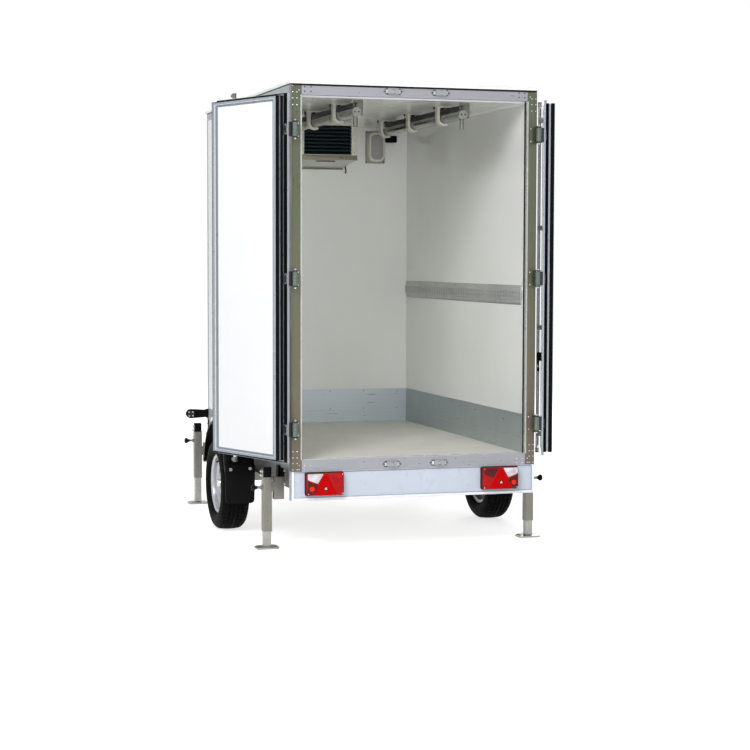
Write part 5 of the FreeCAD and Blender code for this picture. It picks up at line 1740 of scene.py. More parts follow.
@dataclass
class SupportLeg(Assembly):
    """A pair of square support legs at one end: sleeve, cap, knob, bracket, leg and foot."""

    place: str
    y: float
    low: float
    x: float = -855.0
    side: float = 27.5
    wall: float = 4.0
    length: float = 395.0
    cap: float = 62.0
    knob_up: float = 270.0
    leg_side: float = 23.2
    leg_up: float = 300.0
    foot: tuple[float, float] = (71.0, 52.5)
    rail_x: float = -751.0

    def square(self, half: float, radius: float) -> np.ndarray:
        """A square outline with round corners about the leg's middle, as X and Y."""
        return soft_corners(rect(self.x - half, self.x + half, self.y - half, self.y + half), radius)

    def knob(self) -> Shape:
        """The knob's black head: a profile spun about its stem.

        Returns:
            The knob's head.
        """
        tip = self.x - 96
        profile = [
            (0, tip), (9, tip + 0.5), (16, tip + 3), (19.5, tip + 8), (20, tip + 13), (19, tip + 18),
            (15, tip + 23), (10, tip + 26), (10, tip + 36), (0, tip + 36),
        ]
        return lathe(profile, Axis.X, (0, self.y, self.low + self.knob_up), 28)

    def sleeve(self) -> Shape:
        """The sleeve's tube, its knob stem and boss, and the plates that carry it.

        Returns:
            The sleeve with its plates.
        """
        top = self.low + self.length - self.cap
        body = hollow(self.square(self.side, 6), self.square(self.side - self.wall, 3), Axis.Z, self.low, top)
        z = self.low + self.knob_up
        face = self.x - self.side
        profile = [(0, -46), (8, -46), (8, -12), (13, -11), (13, 1), (0, 1)]
        stem = lathe(profile, Axis.X, (face, self.y, z), 20)
        y, inner = self.y, self.x + self.side
        arm = block(inner + 14, self.rail_x, y - 24, y + 24, max(302, self.low), 440)
        arm += block(inner - 2, inner + 14, y - 18, y + 18, 352, 412)
        plate = pad((y - 50, y + 50, 384, 496), 8, Axis.X, -745, self.rail_x, 1.5)
        return union([body, stem, arm, plate])

    def build(self) -> None:
        """Makes both legs of the pair."""
        place, y, low = self.place, self.y, self.low
        top = low + self.length
        replaced = ("leg_sleeves",) if place == "rear" else ()
        self.add(f"{place}_sleeves", self.sleeve().both(), Finishes.LEG_ZINC, replaces=replaced, bevel=1.2)
        cap = pillow(self.square(24.5, 5), Axis.Z, top - self.cap, top, 4)
        band = prism(self.square(26.5, 5), Axis.Z, top - self.cap - 1, top - self.cap + 6)
        seat = block(-789, self.rail_x, y - 24, y + 24, 440, 499.4)
        seat += block(-789, -775.5, y - 24, y + 24, 440, 510)
        blacks = union([cap, band, seat, self.knob()]).both()
        self.add(f"{place}_leg_blacks", blacks, Finishes.PLASTIC, bevel=1.0)
        bolts = hex_head(Axis.X, 8.0, -8.0)
        catch = hex_head(Axis.X, 9.0, -17.0).repeated([(self.x - 24, y, top - d) for d in (26, 50)])
        spots = [(self.x - self.side, y, top - 92)]
        spots += [(self.rail_x, y + s * 38, z) for s in (-1, 1) for z in (400, 480)]
        self.add(f"{place}_leg_bolts", (bolts.repeated(spots) + catch).both(), Finishes.BOLT)
        walls = self.square(self.leg_side, 5), self.square(self.leg_side - 3.5, 2.5)
        leg = hollow(*walls, Axis.Z, 12, 12 + self.leg_up)
        wide, deep = self.foot
        outer = soft_corners(rect(self.x - wide, self.x + wide, y - deep, y + deep), 22)
        foot = stepped(outer, Axis.Z, [(5, 9), (3, 0), (0, 0), (0, 11), (4, 11), (14, 16)])
        for name, side in SIDES:
            body, node = f"leg_{place}_{name}", f"leg_foot_{place}_{name}"
            self.add(f"{place}_foot_{name}", (leg + foot).on(side), Finishes.FOOT_ZINC, body, (node,))


@dataclass
class Undercarriage(Assembly):
    """Rails, bearers and drawbar arms, and the rubber-sprung axle with its drums."""

    axle: tuple[float, float] = (1176.0, 298.0)
    tube_at: tuple[float, float] = (1326.0, 335.0)
    swing: float = 775.0
    rail: tuple[float, float] = (695.0, 745.0)

    def swing_arm(self) -> Shape:
        """A trailing arm: the outline round a large and a small circle, carried across.

        Returns:
            The arm on the right.
        """
        (ty, tz), (ay, az) = self.tube_at, self.axle
        tilt = math.atan2(tz - az, ty - ay)
        big = tilt + np.linspace(-1.45, 1.45, 14)
        small = tilt + math.pi + np.linspace(-1.45, 1.45, 12)
        outline = np.concatenate([
            np.stack([ty + 54 * np.cos(big), tz + 54 * np.sin(big)], -1),
            np.stack([ay + 40 * np.cos(small), az + 40 * np.sin(small)], -1),
        ])
        return prism(outline, Axis.X, -self.swing - 22, -self.swing)

    def drum(self) -> Shape:
        """The brake drum with its rim, cooling ribs and hub.

        Returns:
            The drum on the right.
        """
        x = -self.swing - 22
        profile = [(0, 0), (98, 0), (101, -3), (101, -8), (108, -10)]
        for k in range(4):
            profile += [(108, -12 - 8 * k), (114, -13 - 8 * k), (114, -17 - 8 * k), (108, -18 - 8 * k)]
        profile += [(108, -48), (100, -52), (48, -52), (44, -56), (38, -70), (31, -74), (31, -140), (0, -142)]
        return lathe([(r, x + a) for r, a in profile], Axis.X, (0, *self.axle), 64)

    def build(self) -> None:
        """Makes the undercarriage."""
        self.soften(Finishes.ZINC, "chassis_rail_left", "chassis_rail_right", "floor_bearers", "drawbar_arms")
        y, z = self.tube_at
        tube_outline = soft_corners(rect(y - 40, y + 40, z - 40, z + 40), 14)
        beam = prism(tube_outline, Axis.X, -self.swing, self.swing)
        inner, outer = self.rail
        seat = [(y - 55, z), (y + 55, z), (y + 95, 368), (y + 95, 380), (y - 95, 380), (y - 95, 368)]
        half = prism(soft_corners(seat, 4), Axis.X, -outer, -inner) + self.swing_arm()
        self.add("axle_beam", beam + half.both(), Finishes.ZINC, replaces=("axle",), bevel=1.5)
        self.add("brake_drums", self.drum().both(), Finishes.DARK_STEEL)
        middle = -(inner + outer) / 2
        bolts = hex_head(Axis.Z, 9.0, -9.0).repeated([(middle, y + s * 78, 367) for s in (-1, 1)])
        heads = hex_head(Axis.X, 8.0, -7.0)
        spots = [(-self.swing - 22, y + a, z + b) for a, b in ((0, 0), (26, 20), (26, -20))]
        self.add("axle_bolts", (bolts + heads.repeated(spots)).both(), Finishes.BOLT)


@dataclass
class Hitch(Assembly):
    """The overrun brake's housing, gaiter, coupling head and hand brake."""

    nose: float = 3506.0
    height: float = 420.0
    top: float = 448.0

    def gaiter(self) -> Shape:
        """The rubber gaiter: folds as a cosine of the place along the shaft.

        Returns:
            The closed gaiter.
        """
        along = np.linspace(0, 88, 60)
        radius = 36.5 + 5.4 * np.cos(along * (2 * math.pi * 6 / 88)) - along * 0.03
        profile = [(0, self.nose - 4), (38, self.nose - 4)]
        profile += np.stack([radius, self.nose + along], -1).tolist()
        profile += [(0, self.nose + 92)]
        return lathe(profile, Axis.Y, (0, 0, self.height), 36)

    def build(self) -> None:
        """Makes the hitch."""
        self.soften(Finishes.ZINC, "overrun_hitch", bevel=3.0)
        self.add("hitch_gaiter", self.gaiter(), Finishes.RUBBER)
        spots = [(x, y, self.top) for x in (-98, 98) for y in (3345, 3445)]
        self.add("hitch_bolts", hex_head(Axis.Z, 9.0, 9.0).repeated(spots), Finishes.BOLT)
        lever = tube([(48, 3327, 656), (48, 3295, 725), (48, 3273, 746)], 13.5, 20)
        grip = pad((-12, 12, 3632, 3712), 8, Axis.Z, 481, 503, 5)
        self.add("brake_grips", lever + grip, Finishes.PLASTIC, bevel=1.0)
        cover = pad((-50, 50, 3325, 3500), 14, Axis.Z, self.top - 2, self.top + 7, 3)
        self.add("hitch_cover", cover, Finishes.PLASTIC)


@dataclass
class Jockey(Assembly):
    """The jockey wheel: clamped tube with crank, stem, fork and wheel."""

    x: float = 272.0
    y: float = 3240.0
    trail: float = 45.0

    def tube_parts(self) -> Shape:
        """Outer tube, collar, clamp plate, crank and clamp screw.

        Returns:
            The fixed metal parts.
        """
        x, y = self.x, self.y
        wall = [(24, 380), (24, 815), (27, 817), (27, 822), (22, 825), (8, 825), (8, 862), (6, 863), (0, 863)]
        bore = [(0, 818), (21, 818), (21, 380)]
        outer = lathe(wall + bore, Axis.Z, (x, y, 0), 36)
        band = [(24, 419), (31, 419), (33, 422), (33, 468), (31, 471), (24, 471)]
        ring = lathe(band, Axis.Z, (x, y, 0), 36, loop=True)
        clamp = pad((125, x - 20, y - 30, y + 30), 8, Axis.Z, 440, 452, 2)
        arm = tube([(x, y, 858), (x + 60, y, 858), (x + 112, y, 858)], 6.8, 14)
        screw = tube([(x, y - 30, 458), (x, y - 73, 458)], 7, 14)
        screw += tube([(x - 36, y - 74, 458), (x + 36, y - 74, 458)], 5, 12)
        return union([outer, ring, clamp, arm, screw])

    def fork(self) -> Shape:
        """The fork: two tapered cheeks under a plate, and the wheel's pin.

        Returns:
            The fork with its pin.
        """
        x, y, wheel_y = self.x, self.y, self.y - self.trail
        top = pad((x - 36, x + 36, wheel_y - 15, y + 25), 8, Axis.Z, 225, 230, 1)
        cheek = [
            (wheel_y - 9, 83), (wheel_y + 9, 83), (wheel_y + 17, 100), (y + 25, 228),
            (wheel_y - 15, 228), (wheel_y - 17, 100),
        ]
        cheeks = [prism(soft_corners(cheek, 8), Axis.X, x + s * 31, x + s * 36) for s in (-1, 1)]
        pin = disc(Axis.X, (x - 42, wheel_y, 100), 7.7, 84, 16)
        nuts = hex_head(Axis.X, 10, 5).moved(x + 36, wheel_y, 100)
        return union([top, *cheeks, pin, nuts])

    def tyre(self) -> Shape:
        """The wheel's solid tyre: a rounded section spun about the pin.

        Returns:
            The closed tyre.
        """
        turn = np.linspace(-1.3, 1.3, 11)
        tread = np.stack([80 + 20 * np.cos(turn), 25 * np.sin(turn) / math.sin(1.3)], -1).tolist()
        return lathe([(72, -23), *tread, (72, 23)], Axis.X, (self.x, self.y - self.trail, 100), 48, loop=True)

    def web(self) -> Shape:
        """The wheel's disc with its hub.

        Returns:
            The disc.
        """
        half = [(8.2, -28), (22, -28), (24, -26), (24, -12), (30, -8), (66, -8), (73, -14)]
        profile = half + [(radius, -along) for radius, along in reversed(half)]
        return lathe(profile, Axis.X, (self.x, self.y - self.trail, 100), 48, loop=True)

    def build(self) -> None:
        """Makes the jockey wheel."""
        x, y = self.x, self.y
        self.add("jockey_outer", self.tube_parts(), Finishes.ZINC, replaces=("jockey_tube",), bevel=0.8)
        handle = [(0, 862), (11, 862), (12, 866), (10.5, 905), (12, 944), (10, 951), (0, 952)]
        grip = lathe(handle, Axis.Z, (x + 108, y, 0), 24)
        self.add("jockey_grip", grip, Finishes.PLASTIC)
        inner = [(0, 230.3), (20.7, 230.3), (20.7, 568), (18, 570.3), (0, 570.3)]
        stem = lathe(inner, Axis.Z, (x, y, 0), 36)
        self.add("jockey_inner", stem, Finishes.ZINC, "jockey_stem", ("jockey_stem",))
        self.add("jockey_fork_plates", self.fork(), Finishes.ZINC, "jockey_fork", ("jockey_fork",), bevel=0.8)
        self.add("jockey_tyre", self.tyre(), Finishes.TYRE, "jockey_wheel", ("jockey_wheel",))
        self.add("jockey_web", self.web(), Finishes.LAMP_PLATE, "jockey_wheel")


@dataclass
class WallGear(Assembly):
    """Kick plates and slotted lashing rails on the inside walls."""

    inside: float = 714.0
    start: float = 50.0
    front_in: float = 2399.0
    low: float = 566.0
    line: float = 652.0
    high: float = 809.0
    rail_low: float = 1484.0
    rail_start: float = 67.0
    pitch: float = 50.0

    def kick_plates(self) -> None:
        """A thick lower and a thin upper sheet on each wall, with rivets along the upper edge."""
        x, end = self.inside, self.front_in
        low, line, high = self.low, self.line, self.high
        profile = [(0, low), (3, low), (3, line - 1), (1.8, line + 0.5)]
        profile += [(1.8, high - 1), (1, high), (0, high)]
        side = prism([(-x + a, z) for a, z in profile], Axis.Y, self.start, end - 3)
        front = prism([(end - a, z) for a, z in profile], Axis.X, -x, x)
        self.add("kick_sides", side.both(), Finishes.KICK, replaces=("kick_plates",))
        self.add("kick_front", front, Finishes.KICK_FRONT)
        heights = (line + 12, high - 14)
        side_spots = [(-x + 1.8, y, z) for y in np.arange(110, 2360, 250) for z in heights]
        front_spots = [(at, end - 1.8, z) for at in np.arange(-640, 641, 256) for z in heights]
        heads = dome(Axis.X, 3.6, 1.4).repeated(side_spots).both()
        self.add("kick_rivets", heads + dome(Axis.Y, 3.6, -1.4).repeated(front_spots), Finishes.SLAT)

    def lashing_rails(self) -> None:
        """A pressed rail on each wall: its section carried along, with two rows of slots left out."""
        out = np.array([1.5, 1.5, 8.5, 8.5, 8.5, 8.5, 8.5, 8.5, 1.5, 1.5])
        up = np.array([0, 27.6, 34.6, 44, 53, 68, 77, 86.4, 93.4, 121.0])
        slots = int((self.front_in - self.rail_start - 30) // self.pitch)
        first = self.rail_start + 20 + self.pitch * np.arange(slots)
        cuts = np.stack([first, first + 28], -1).ravel()
        ys = np.concatenate([[self.rail_start], cuts, [self.front_in - 0.5]])
        grid = np.empty((len(ys), len(out), 3))
        grid[..., 0] = -self.inside + out
        grid[..., 1] = ys[:, None]
        grid[..., 2] = self.rail_low + up
        gap = np.arange(len(ys) - 1)[:, None] % 2 == 1
        row = np.arange(len(out) - 1)[None, :]
        rail = pierced(grid, gap & ((row == 3) | (row == 5)))
        self.add("lashing_channels", rail.both(), Finishes.LASHING, replaces=("lashing_rails",), wall=2.9)
        x, low = -self.inside + 3, self.rail_low
        spots = [(x, y, low + z) for y in np.arange(100, 2380, 200) for z in (13, 108)]
        self.add("lashing_screws", dome(Axis.X, 4.6, 2.2).repeated(spots).both(), Finishes.BRIGHT)

    def build(self) -> None:
        """Makes the wall gear."""
        self.kick_plates()
        self.lashing_rails()


@dataclass
class InsideLamp(Assembly):
    """The bulkhead lamp on the front wall and the black sensor beside it."""

    x: float = 467.0
    z: float = 2581.0
    wall: float = 2399.0

    def build(self) -> None:
        """Makes plate, ring, glass, screws and sensor."""
        x, z, wall = self.x, self.z, self.wall
        plate = pad((x - 75, x + 75, z - 118, z + 118), 10, Axis.Y, wall, wall - 6, 2)
        self.add("lamp_plate", plate, Finishes.LAMP_PLATE, replaces=("interior_lamp",))
        outer = soft_corners(rect(x - 62, x + 62, z - 107, z + 107), 54, 8)
        ring = ((0, 5), (0, 44), (2, 52), (6, 58), (12, 60), (15, 58), (16, 50))
        glass = ((15, 40), (17, 51.5), (24, 55), (36, 57))
        for label, steps, finish in (
            ("lamp_ring", ring, Finishes.LAMP_RING), ("lamp_glass", glass, Finishes.LAMP_GLASS)
        ):
            self.add(label, stepped(outer, Axis.Y, [(by, wall - out) for by, out in steps]), finish)
        spots = [(x + a * 66, wall - 6, z + b * 108) for a in (-1, 1) for b in (-1, 1)]
        self.add("lamp_screws", dome(Axis.Y, 5, -2.6).repeated(spots), Finishes.SLAT)
        sensor = pad((545, 625, 2617, 2666), 7, Axis.Y, wall, wall - 40, 4)
        ribs = [block(553 + 12 * k, 559 + 12 * k, wall - 41.5, wall - 38, 2624, 2659) for k in range(6)]
        self.add("wall_sensor", union([sensor, *ribs]), Finishes.PLASTIC, bevel=0.6)


@dataclass
class HangingRails(Assembly):
    """Two round hanging rails with capped ends, cast hooks, plates and pegs."""

    x: float = 340.0
    z: float = 2650.0
    run: tuple[float, float] = (120.0, 1750.0)
    hangers: tuple[float, ...] = (490.0, 1092.5, 1695.0)
    ceiling: float = 2723.0

    def hook(self) -> Shape:
        """One cast hook at the origin of its rail: a strap that bends under the rail into a seat.

        Returns:
            The hook.
        """
        turn = np.radians(np.linspace(180, 296, 14))
        inner = np.stack([33 * np.cos(turn), 33 * np.sin(turn)], -1)
        outer = np.stack([49 * np.cos(turn), 46 * np.sin(turn)], -1)[::-1]
        outline = [(-49, 73), (-33, 73), *inner.tolist(), *outer.tolist()]
        strap = prism(outline, Axis.Y, -22, 22)
        seat = block(-12, 12, -12, 12, -40, -26)
        plate = pad((-57, 42, -30, 30), 8, Axis.Z, 73, 67, 2)
        return union([strap, seat, plate])

    def fixings(self) -> Shape:
        """One hook's bolts under its plate, and the thin rod that hangs beside its strap.

        Returns:
            The bolts and the rod.
        """
        bolts = hex_head(Axis.Z, 7.5, -9).repeated([(a, b, 67) for a in (-8, 26) for b in (-17, 17)])
        rod = disc(Axis.Z, (-65, 0, -37), 2.0, 110, 8)
        return union([bolts, rod, disc(Axis.Z, (-65, 0, 58), 6, 15, 12)])

    def web(self) -> Shape:
        """A dark web and flange along the top of one rail: a painted reflection, standing in for the dark
        band mirrored on the shiny pipe.

        Returns:
            The web on one rail.
        """
        start, end = self.run
        outline = [(-4, 28), (4, 28), (4, 50), (15, 50), (15, 56), (-15, 56), (-15, 50), (-4, 50)]
        return prism(outline, Axis.Y, start + 30, end - 10)

    def build(self) -> None:
        """Makes both rails with what they hang on."""
        start, end = self.run
        profile = [(0, start), (27, start), (30, start + 3), (30, end - 3), (27, end), (0, end)]
        pipe = lathe(profile, Axis.Y, steps=48)
        # Dark discs in the pipe ends' holes: painted shade.
        holes = lathe([(0, -1.2), (5, -1.2), (5, 1), (0, 1)], Axis.Y, steps=14)
        rails, hooks, dots, steel, fixings_and_reflection_band = [], [], [], [], []
        for side in (-1, 1):
            x = side * self.x
            rails.append(pipe.moved(x, 0, self.z))
            dots.append(holes.repeated([(x + a, start, self.z) for a in (-12, 12)]))
            hooks += [self.hook().moved(x, y, self.z) for y in self.hangers]
            fixings_and_reflection_band += [self.fixings().moved(x, y, self.z) for y in self.hangers]
            # The web is a painted reflection on the pipe.
            fixings_and_reflection_band.append(self.web().moved(x, 0, self.z))
            plate = soft_corners(rect(x - 14, x + 50, self.z - 21, self.ceiling), 5)
            steel.append(prism(plate, Axis.Y, 150, 156))
            steel.append(disc(Axis.Z, (x, 150, 2560), 14, 90, 24))
        self.add("hanging_pipes", union(rails), Finishes.RAIL, replaces=("meat_rails",))
        self.add("hanging_hooks", union(hooks), Finishes.CAST, bevel=1.5)
        self.add("pipe_end_hole_shade", union(dots), Finishes.DARK)
        self.add("hanging_plates", union(steel), Finishes.RAIL_PLATE, bevel=1.0)
        self.add("hanging_fixings_and_reflection_band", union(fixings_and_reflection_band), Finishes.DARK_STEEL, bevel=0.4)


@dataclass
class Evaporator(Assembly):
    """The cooler under the ceiling: case, front frame, slats, warm strip, drain and pipe."""

    half: float = 215.0
    front: float = 2000.0
    back: float = 2399.0
    low: float = 2462.0
    back_low: float = 2424.0
    ceiling: float = 2723.0
    opening: tuple[float, float, float] = (173.0, 2500.0, 2705.0)
    slats: int = 8

    def build(self) -> None:
        """Makes the cooler."""
        front, low, top = self.front, self.low, self.ceiling
        back, half, deep = self.back, self.half, front + 38
        side = [(deep, top), (back, top), (back, self.back_low), (front + 42, low), (deep, low)]
        wide, hole_low, hole_high = self.opening
        outer, inner = (-half, half, low, top), (-wide, wide, hole_low, hole_high)
        near = (-half + 3, half - 3, low + 3, top - 3)
        rings = [(*outer, deep), (*outer, front + 3), (*near, front), (*inner, front), (*inner, deep)]
        case = prism(side, Axis.X, -half, half) + collar(rings)
        self.add("cooler_case", case, Finishes.CASE, replaces=("evaporator",), bevel=1.0)
        # A dark sheet behind the front frame's opening: painted shade inside the cooler.
        hole = block(-wide, wide, front + 34, front + 37.5, hole_low, hole_high)
        self.add("cooler_hollow_shade", hole, Finishes.DARK)
        pitch = (hole_high - hole_low) / self.slats
        turn = np.linspace(0, 1, 7)
        line = np.stack([front + 2 + 32 * turn, pitch * (0.16 + 0.75 * turn**0.6)], -1)
        outline = np.concatenate([line, (line + (0, 2.2))[::-1]])
        # The slats' teal tint is a painted reflection.
        slat = prism(outline, Axis.X, -wide, wide)
        places = [(0, 0, hole_low + pitch * k - 2) for k in range(self.slats)]
        self.add("cooler_slats", slat.repeated(places), Finishes.SLAT)
        strip = pad((-half, half, low, low + 34), 2, Axis.Y, front, front - 3, 1)
        self.add("cooler_strip", strip, Finishes.STRIP)
        # A dark sheet in the drain slot under the cooler: painted shade.
        slot = block(-70, 70, front + 60, front + 76, low - 6, low - 1.5)
        self.add("cooler_slot_shade", slot.turned(Axis.X, -6.1, (0, front + 42, low)), Finishes.DARK)
        spots = [(x, front, z) for x in (-194, 194) for z in (2515, 2600, 2690)]
        self.add("cooler_screws", dome(Axis.Y, 4.2, -2).repeated(spots), Finishes.BRIGHT)
        pipe = tube([(x, back - 7, 2418) for x in (-half - 5, 0, half + 5)], 5)
        self.add("cooler_pipe", pipe, Finishes.RAIL)
        bends = ((220, 2462), (231, 2458), (229, 2430), (234, 2408), (231, 2384))
        drain = smooth_line([(x, back - 42, z) for x, z in bends])
        nut = disc(Axis.Z, (222, back - 42, 2446), 12, 18, 20)
        self.add("cooler_drain", tube(drain, 4.5) + nut, Finishes.RUBBER)


@dataclass
class CondensingUnit(Assembly):
    """The cooling unit on the front wall: case, fan behind a wire grille, screws and foot rails."""

    fan_z: float = 2210.0
    face: float = 2826.0
    fan_deep: float = 70.0
    fan: float = 200.0
    blades: int = 5

    def fan_blades(self) -> Shape:
        """Twisted blades: the angle goes with the place across, and the pitch falls with the radius.

        Returns:
            The open sheets, for a wall.
        """
        reach = np.linspace(44, 186, 12)[:, None]
        across = np.linspace(-0.42, 0.42, 9)[None, :]
        pitch = 26 - 0.07 * reach
        blades = []
        for k in range(self.blades):
            angle = across * (1.15 - 0.0016 * reach) + 2 * math.pi * k / self.blades
            grid = np.empty((12, 9, 3))
            grid[..., 0] = reach * np.cos(angle)
            grid[..., 1] = self.face - self.fan_deep * 0.55 + across * pitch
            grid[..., 2] = self.fan_z + reach * np.sin(angle)
            blades.append(lattice(grid))
        return union(blades)

    def grille(self) -> Shape:
        """Wire rings and spokes in front of the fan.

        Returns:
            The rings and spokes.
        """
        turn = np.linspace(0, 2 * math.pi, 48, endpoint=False)
        wires = []
        for radius in np.arange(38, 200, 18.0):
            section = [(radius + 1.6 * math.cos(a), self.face - 6 + 1.6 * math.sin(a)) for a in turn[::8]]
            wires.append(lathe(section, Axis.Y, (0, 0, self.fan_z), 48, loop=True))
        for angle in turn[::6]:
            across, up, y = math.cos(angle), math.sin(angle), self.face - 9
            ends = [(r * across, y, self.fan_z + r * up) for r in (38, 199)]
            wires.append(tube(ends, 2.2, 8))
        return union(wires)

    def build(self) -> None:
        """Makes the unit."""
        case = self.copy_of("condensing_unit")
        x, y, z = case.points.T
        works = (np.hypot(x, z - self.fan_z) < self.fan - 8) & (y > self.face - self.fan_deep + 1)
        case = case.without(works)
        self.add("unit_case", case, Finishes.COOLER, replaces=("condensing_unit",), bevel=3.0)
        self.add("unit_fan", self.fan_blades(), Finishes.PLASTIC, wall=3.0)
        profile = [(0, -4), (40, -4), (45, -10), (46, -72), (0, -72)]
        hub = lathe(profile, Axis.Y, (0, self.face, self.fan_z), 36)
        # The dark disc behind the fan is painted shade in its recess; the hub is drawn near-black too.
        floor = (0, self.face - self.fan_deep + 0.5, self.fan_z)
        back = disc(Axis.Y, floor, self.fan - 1, 1.5, 48)
        self.add("unit_fan_hub_and_shade", hub + back, Finishes.DARK)
        self.add("unit_grille", self.grille(), Finishes.BOLT)
        spots = [(a * 340, self.face, z) for a in (-1, 1) for z in (1930, 2120, 2300, 2455)]
        self.add("unit_screws", hex_head(Axis.Y, 6, 5).repeated(spots), Finishes.BOLT)


@dataclass
class TailLamp(Assembly):
    """One tail lamp: black base, red lens with clear, dark and red panes, and the triangle."""

    name: str
    x: float
    side: int
    z: float = 425.0
    back: float = 6.0
    half: tuple[float, float] = (115.0, 66.0)
    triangle: float = 150.0

    def pane(self, pairs: Sequence[Sequence[float]], out: float) -> Shape:
        """A pane that stands out from the lens.

        Args:
            pairs: its corners as shares of the lens's half sizes, outwards and up.
            out: how far its face stands out.

        Returns:
            The pane.
        """
        wide, tall = self.half
        outline = [(self.x + self.side * a * wide, self.z + b * tall) for a, b in pairs]
        return pillow(soft_corners(outline, 7), Axis.Y, -37, -out, 1.2)

    def build(self) -> None:
        """Makes the lamp."""
        x, z, name, side = self.x, self.z, self.name, self.side
        base = pad((x - 119, x + 119, z - 70, z + 70), 12, Axis.Y, self.back, -20, 3)
        replaced = ("tail_lamps",) if name == "left" else ()
        self.add(f"tail_base_{name}", base, Finishes.BROWN, replaces=replaced)
        wide, tall = self.half
        outer = soft_corners(rect(x - wide, x + wide, z - tall, z + tall), 12)
        lens = stepped(outer, Axis.Y, [(0, -18), (0, -33), (2, -37.5), (6, -40), (12, -40.6)])
        self.add(f"tail_lens_{name}", lens, Finishes.RED)
        # The left lamp's inner pane is drawn in bright red and the right lamp's in dark red: a painted
        # highlight on the left lamp.
        inner = Finishes.RED if side < 0 else Finishes.DARK_RED
        panes = (
            ("clear", 42.0, Finishes.CLEAR, [(0.12, 0.95), (0.96, 0.95), (0.96, 0.42), (0.42, 0.06)]),
            ("dark", 41.4, Finishes.DARK_RED, [(0.98, 0.30), (0.98, -0.95), (0.50, -0.95), (0.42, -0.05)]),
            ("inner", 41.6, inner, [(-0.12, 0.95), (-0.96, 0.95), (-0.96, 0.40), (-0.42, 0.02)]),
        )
        for label, out, finish, corners in panes:
            self.add(f"tail_{label}_{name}", self.pane(corners, out), finish)
        profile = [(0, -44.6), (9, -44.2), (14, -42.6), (16, -40), (0, -40)]
        round_pane = lathe(profile, Axis.Y, (x + side * 84, 0, z - 27), 24)
        self.add(f"tail_round_{name}", round_pane, Finishes.GLOW_RED)
        low, half = z - 64, self.triangle / 2
        triangles = (
            ("triangle", (half, 0, half * math.sqrt(3), 7), (-38, -45.4, 1.5), Finishes.REFLECTOR),
            ("mark", (19, 28, 62, 3), (-44, -45.8, 0.3), Finishes.DARK_RED),
            ("peak", (9, 33, 49, 2), (-45, -46, 0.1), Finishes.CLEAR),
        )
        for label, (wide_by, foot, tip, soft), depths, finish in triangles:
            outline = [(x - wide_by, low + foot), (x + wide_by, low + foot), (x, low + tip)]
            shape = pillow(soft_corners(outline, soft), Axis.Y, *depths)
            self.add(f"tail_{label}_{name}", shape, finish)
        spots = [(x + a * (wide - 9), -38.8, z + b * (tall - 9)) for a in (-1, 1) for b in (-1, 1)]
        self.add(f"tail_screws_{name}", dome(Axis.Y, 4.4, -3.6).repeated(spots), Finishes.BRIGHT)


@dataclass
class MarkerLamp(Assembly):
    """Rubber arms with outline lamps at the front corners, and their cable in clips."""

    start: float = -775.0
    end: float = -937.0
    y: tuple[float, float] = (2418.0, 2456.0)
    z: float = 650.0
    tall: float = 32.5

    def build(self) -> None:
        """Makes both arms with their lamps and cables."""
        y0, y1 = self.y
        z, tall = self.z, self.tall
        tip = self.end + tall
        turn = np.radians(np.linspace(90, 270, 13))
        nose = np.stack([tip + tall * np.cos(turn), z + tall * np.sin(turn)], -1)
        neck = [(self.start, z - tall), (-785, z - tall), (-801, z - tall * 0.8), (-840, z - tall * 0.9)]
        outline = np.array([*nose.tolist(), *neck[::-1], *[(a, 2 * z - b) for a, b in neck]])
        arm = stepped(outline, Axis.Y, [(3, y0), (0, y0 + 4), (0, y1 - 4), (3, y1)])
        route = smooth_line([(-781, y0 + 4, z - 28), (-779.5, y0 + 4, z - 60), (-779.5, y0 + 4, 514)])
        clips = [block(-785, -775, y0 - 2, y0 + 10, at, at + 8) for at in (530, 575)]
        arms = union([arm, tube(route, 4), *clips]).both()
        self.add("marker_arms", arms, Finishes.RUBBER, replaces=("marker_lamps",))
        # The red lens is drawn near-black, in the same material as the painted shade.
        red = disc(Axis.Y, (tip, y0 + 1, z), 25, -2.5, 32)
        self.add("marker_red", red.both(), Finishes.DARK, bevel=0.4)
        pale = disc(Axis.Y, (tip, y1 - 1, z), 25, 2.0, 32)
        self.add("marker_pale", pale.both(), Finishes.CLEAR, bevel=0.4)
        spots = [(tip + a, y0 - 1.2, z + b) for a in (-14, 14) for b in (-14, 12)]
        self.add("marker_dots", dome(Axis.Y, 6.0, -3.6).repeated(spots).both(), Finishes.DOT)


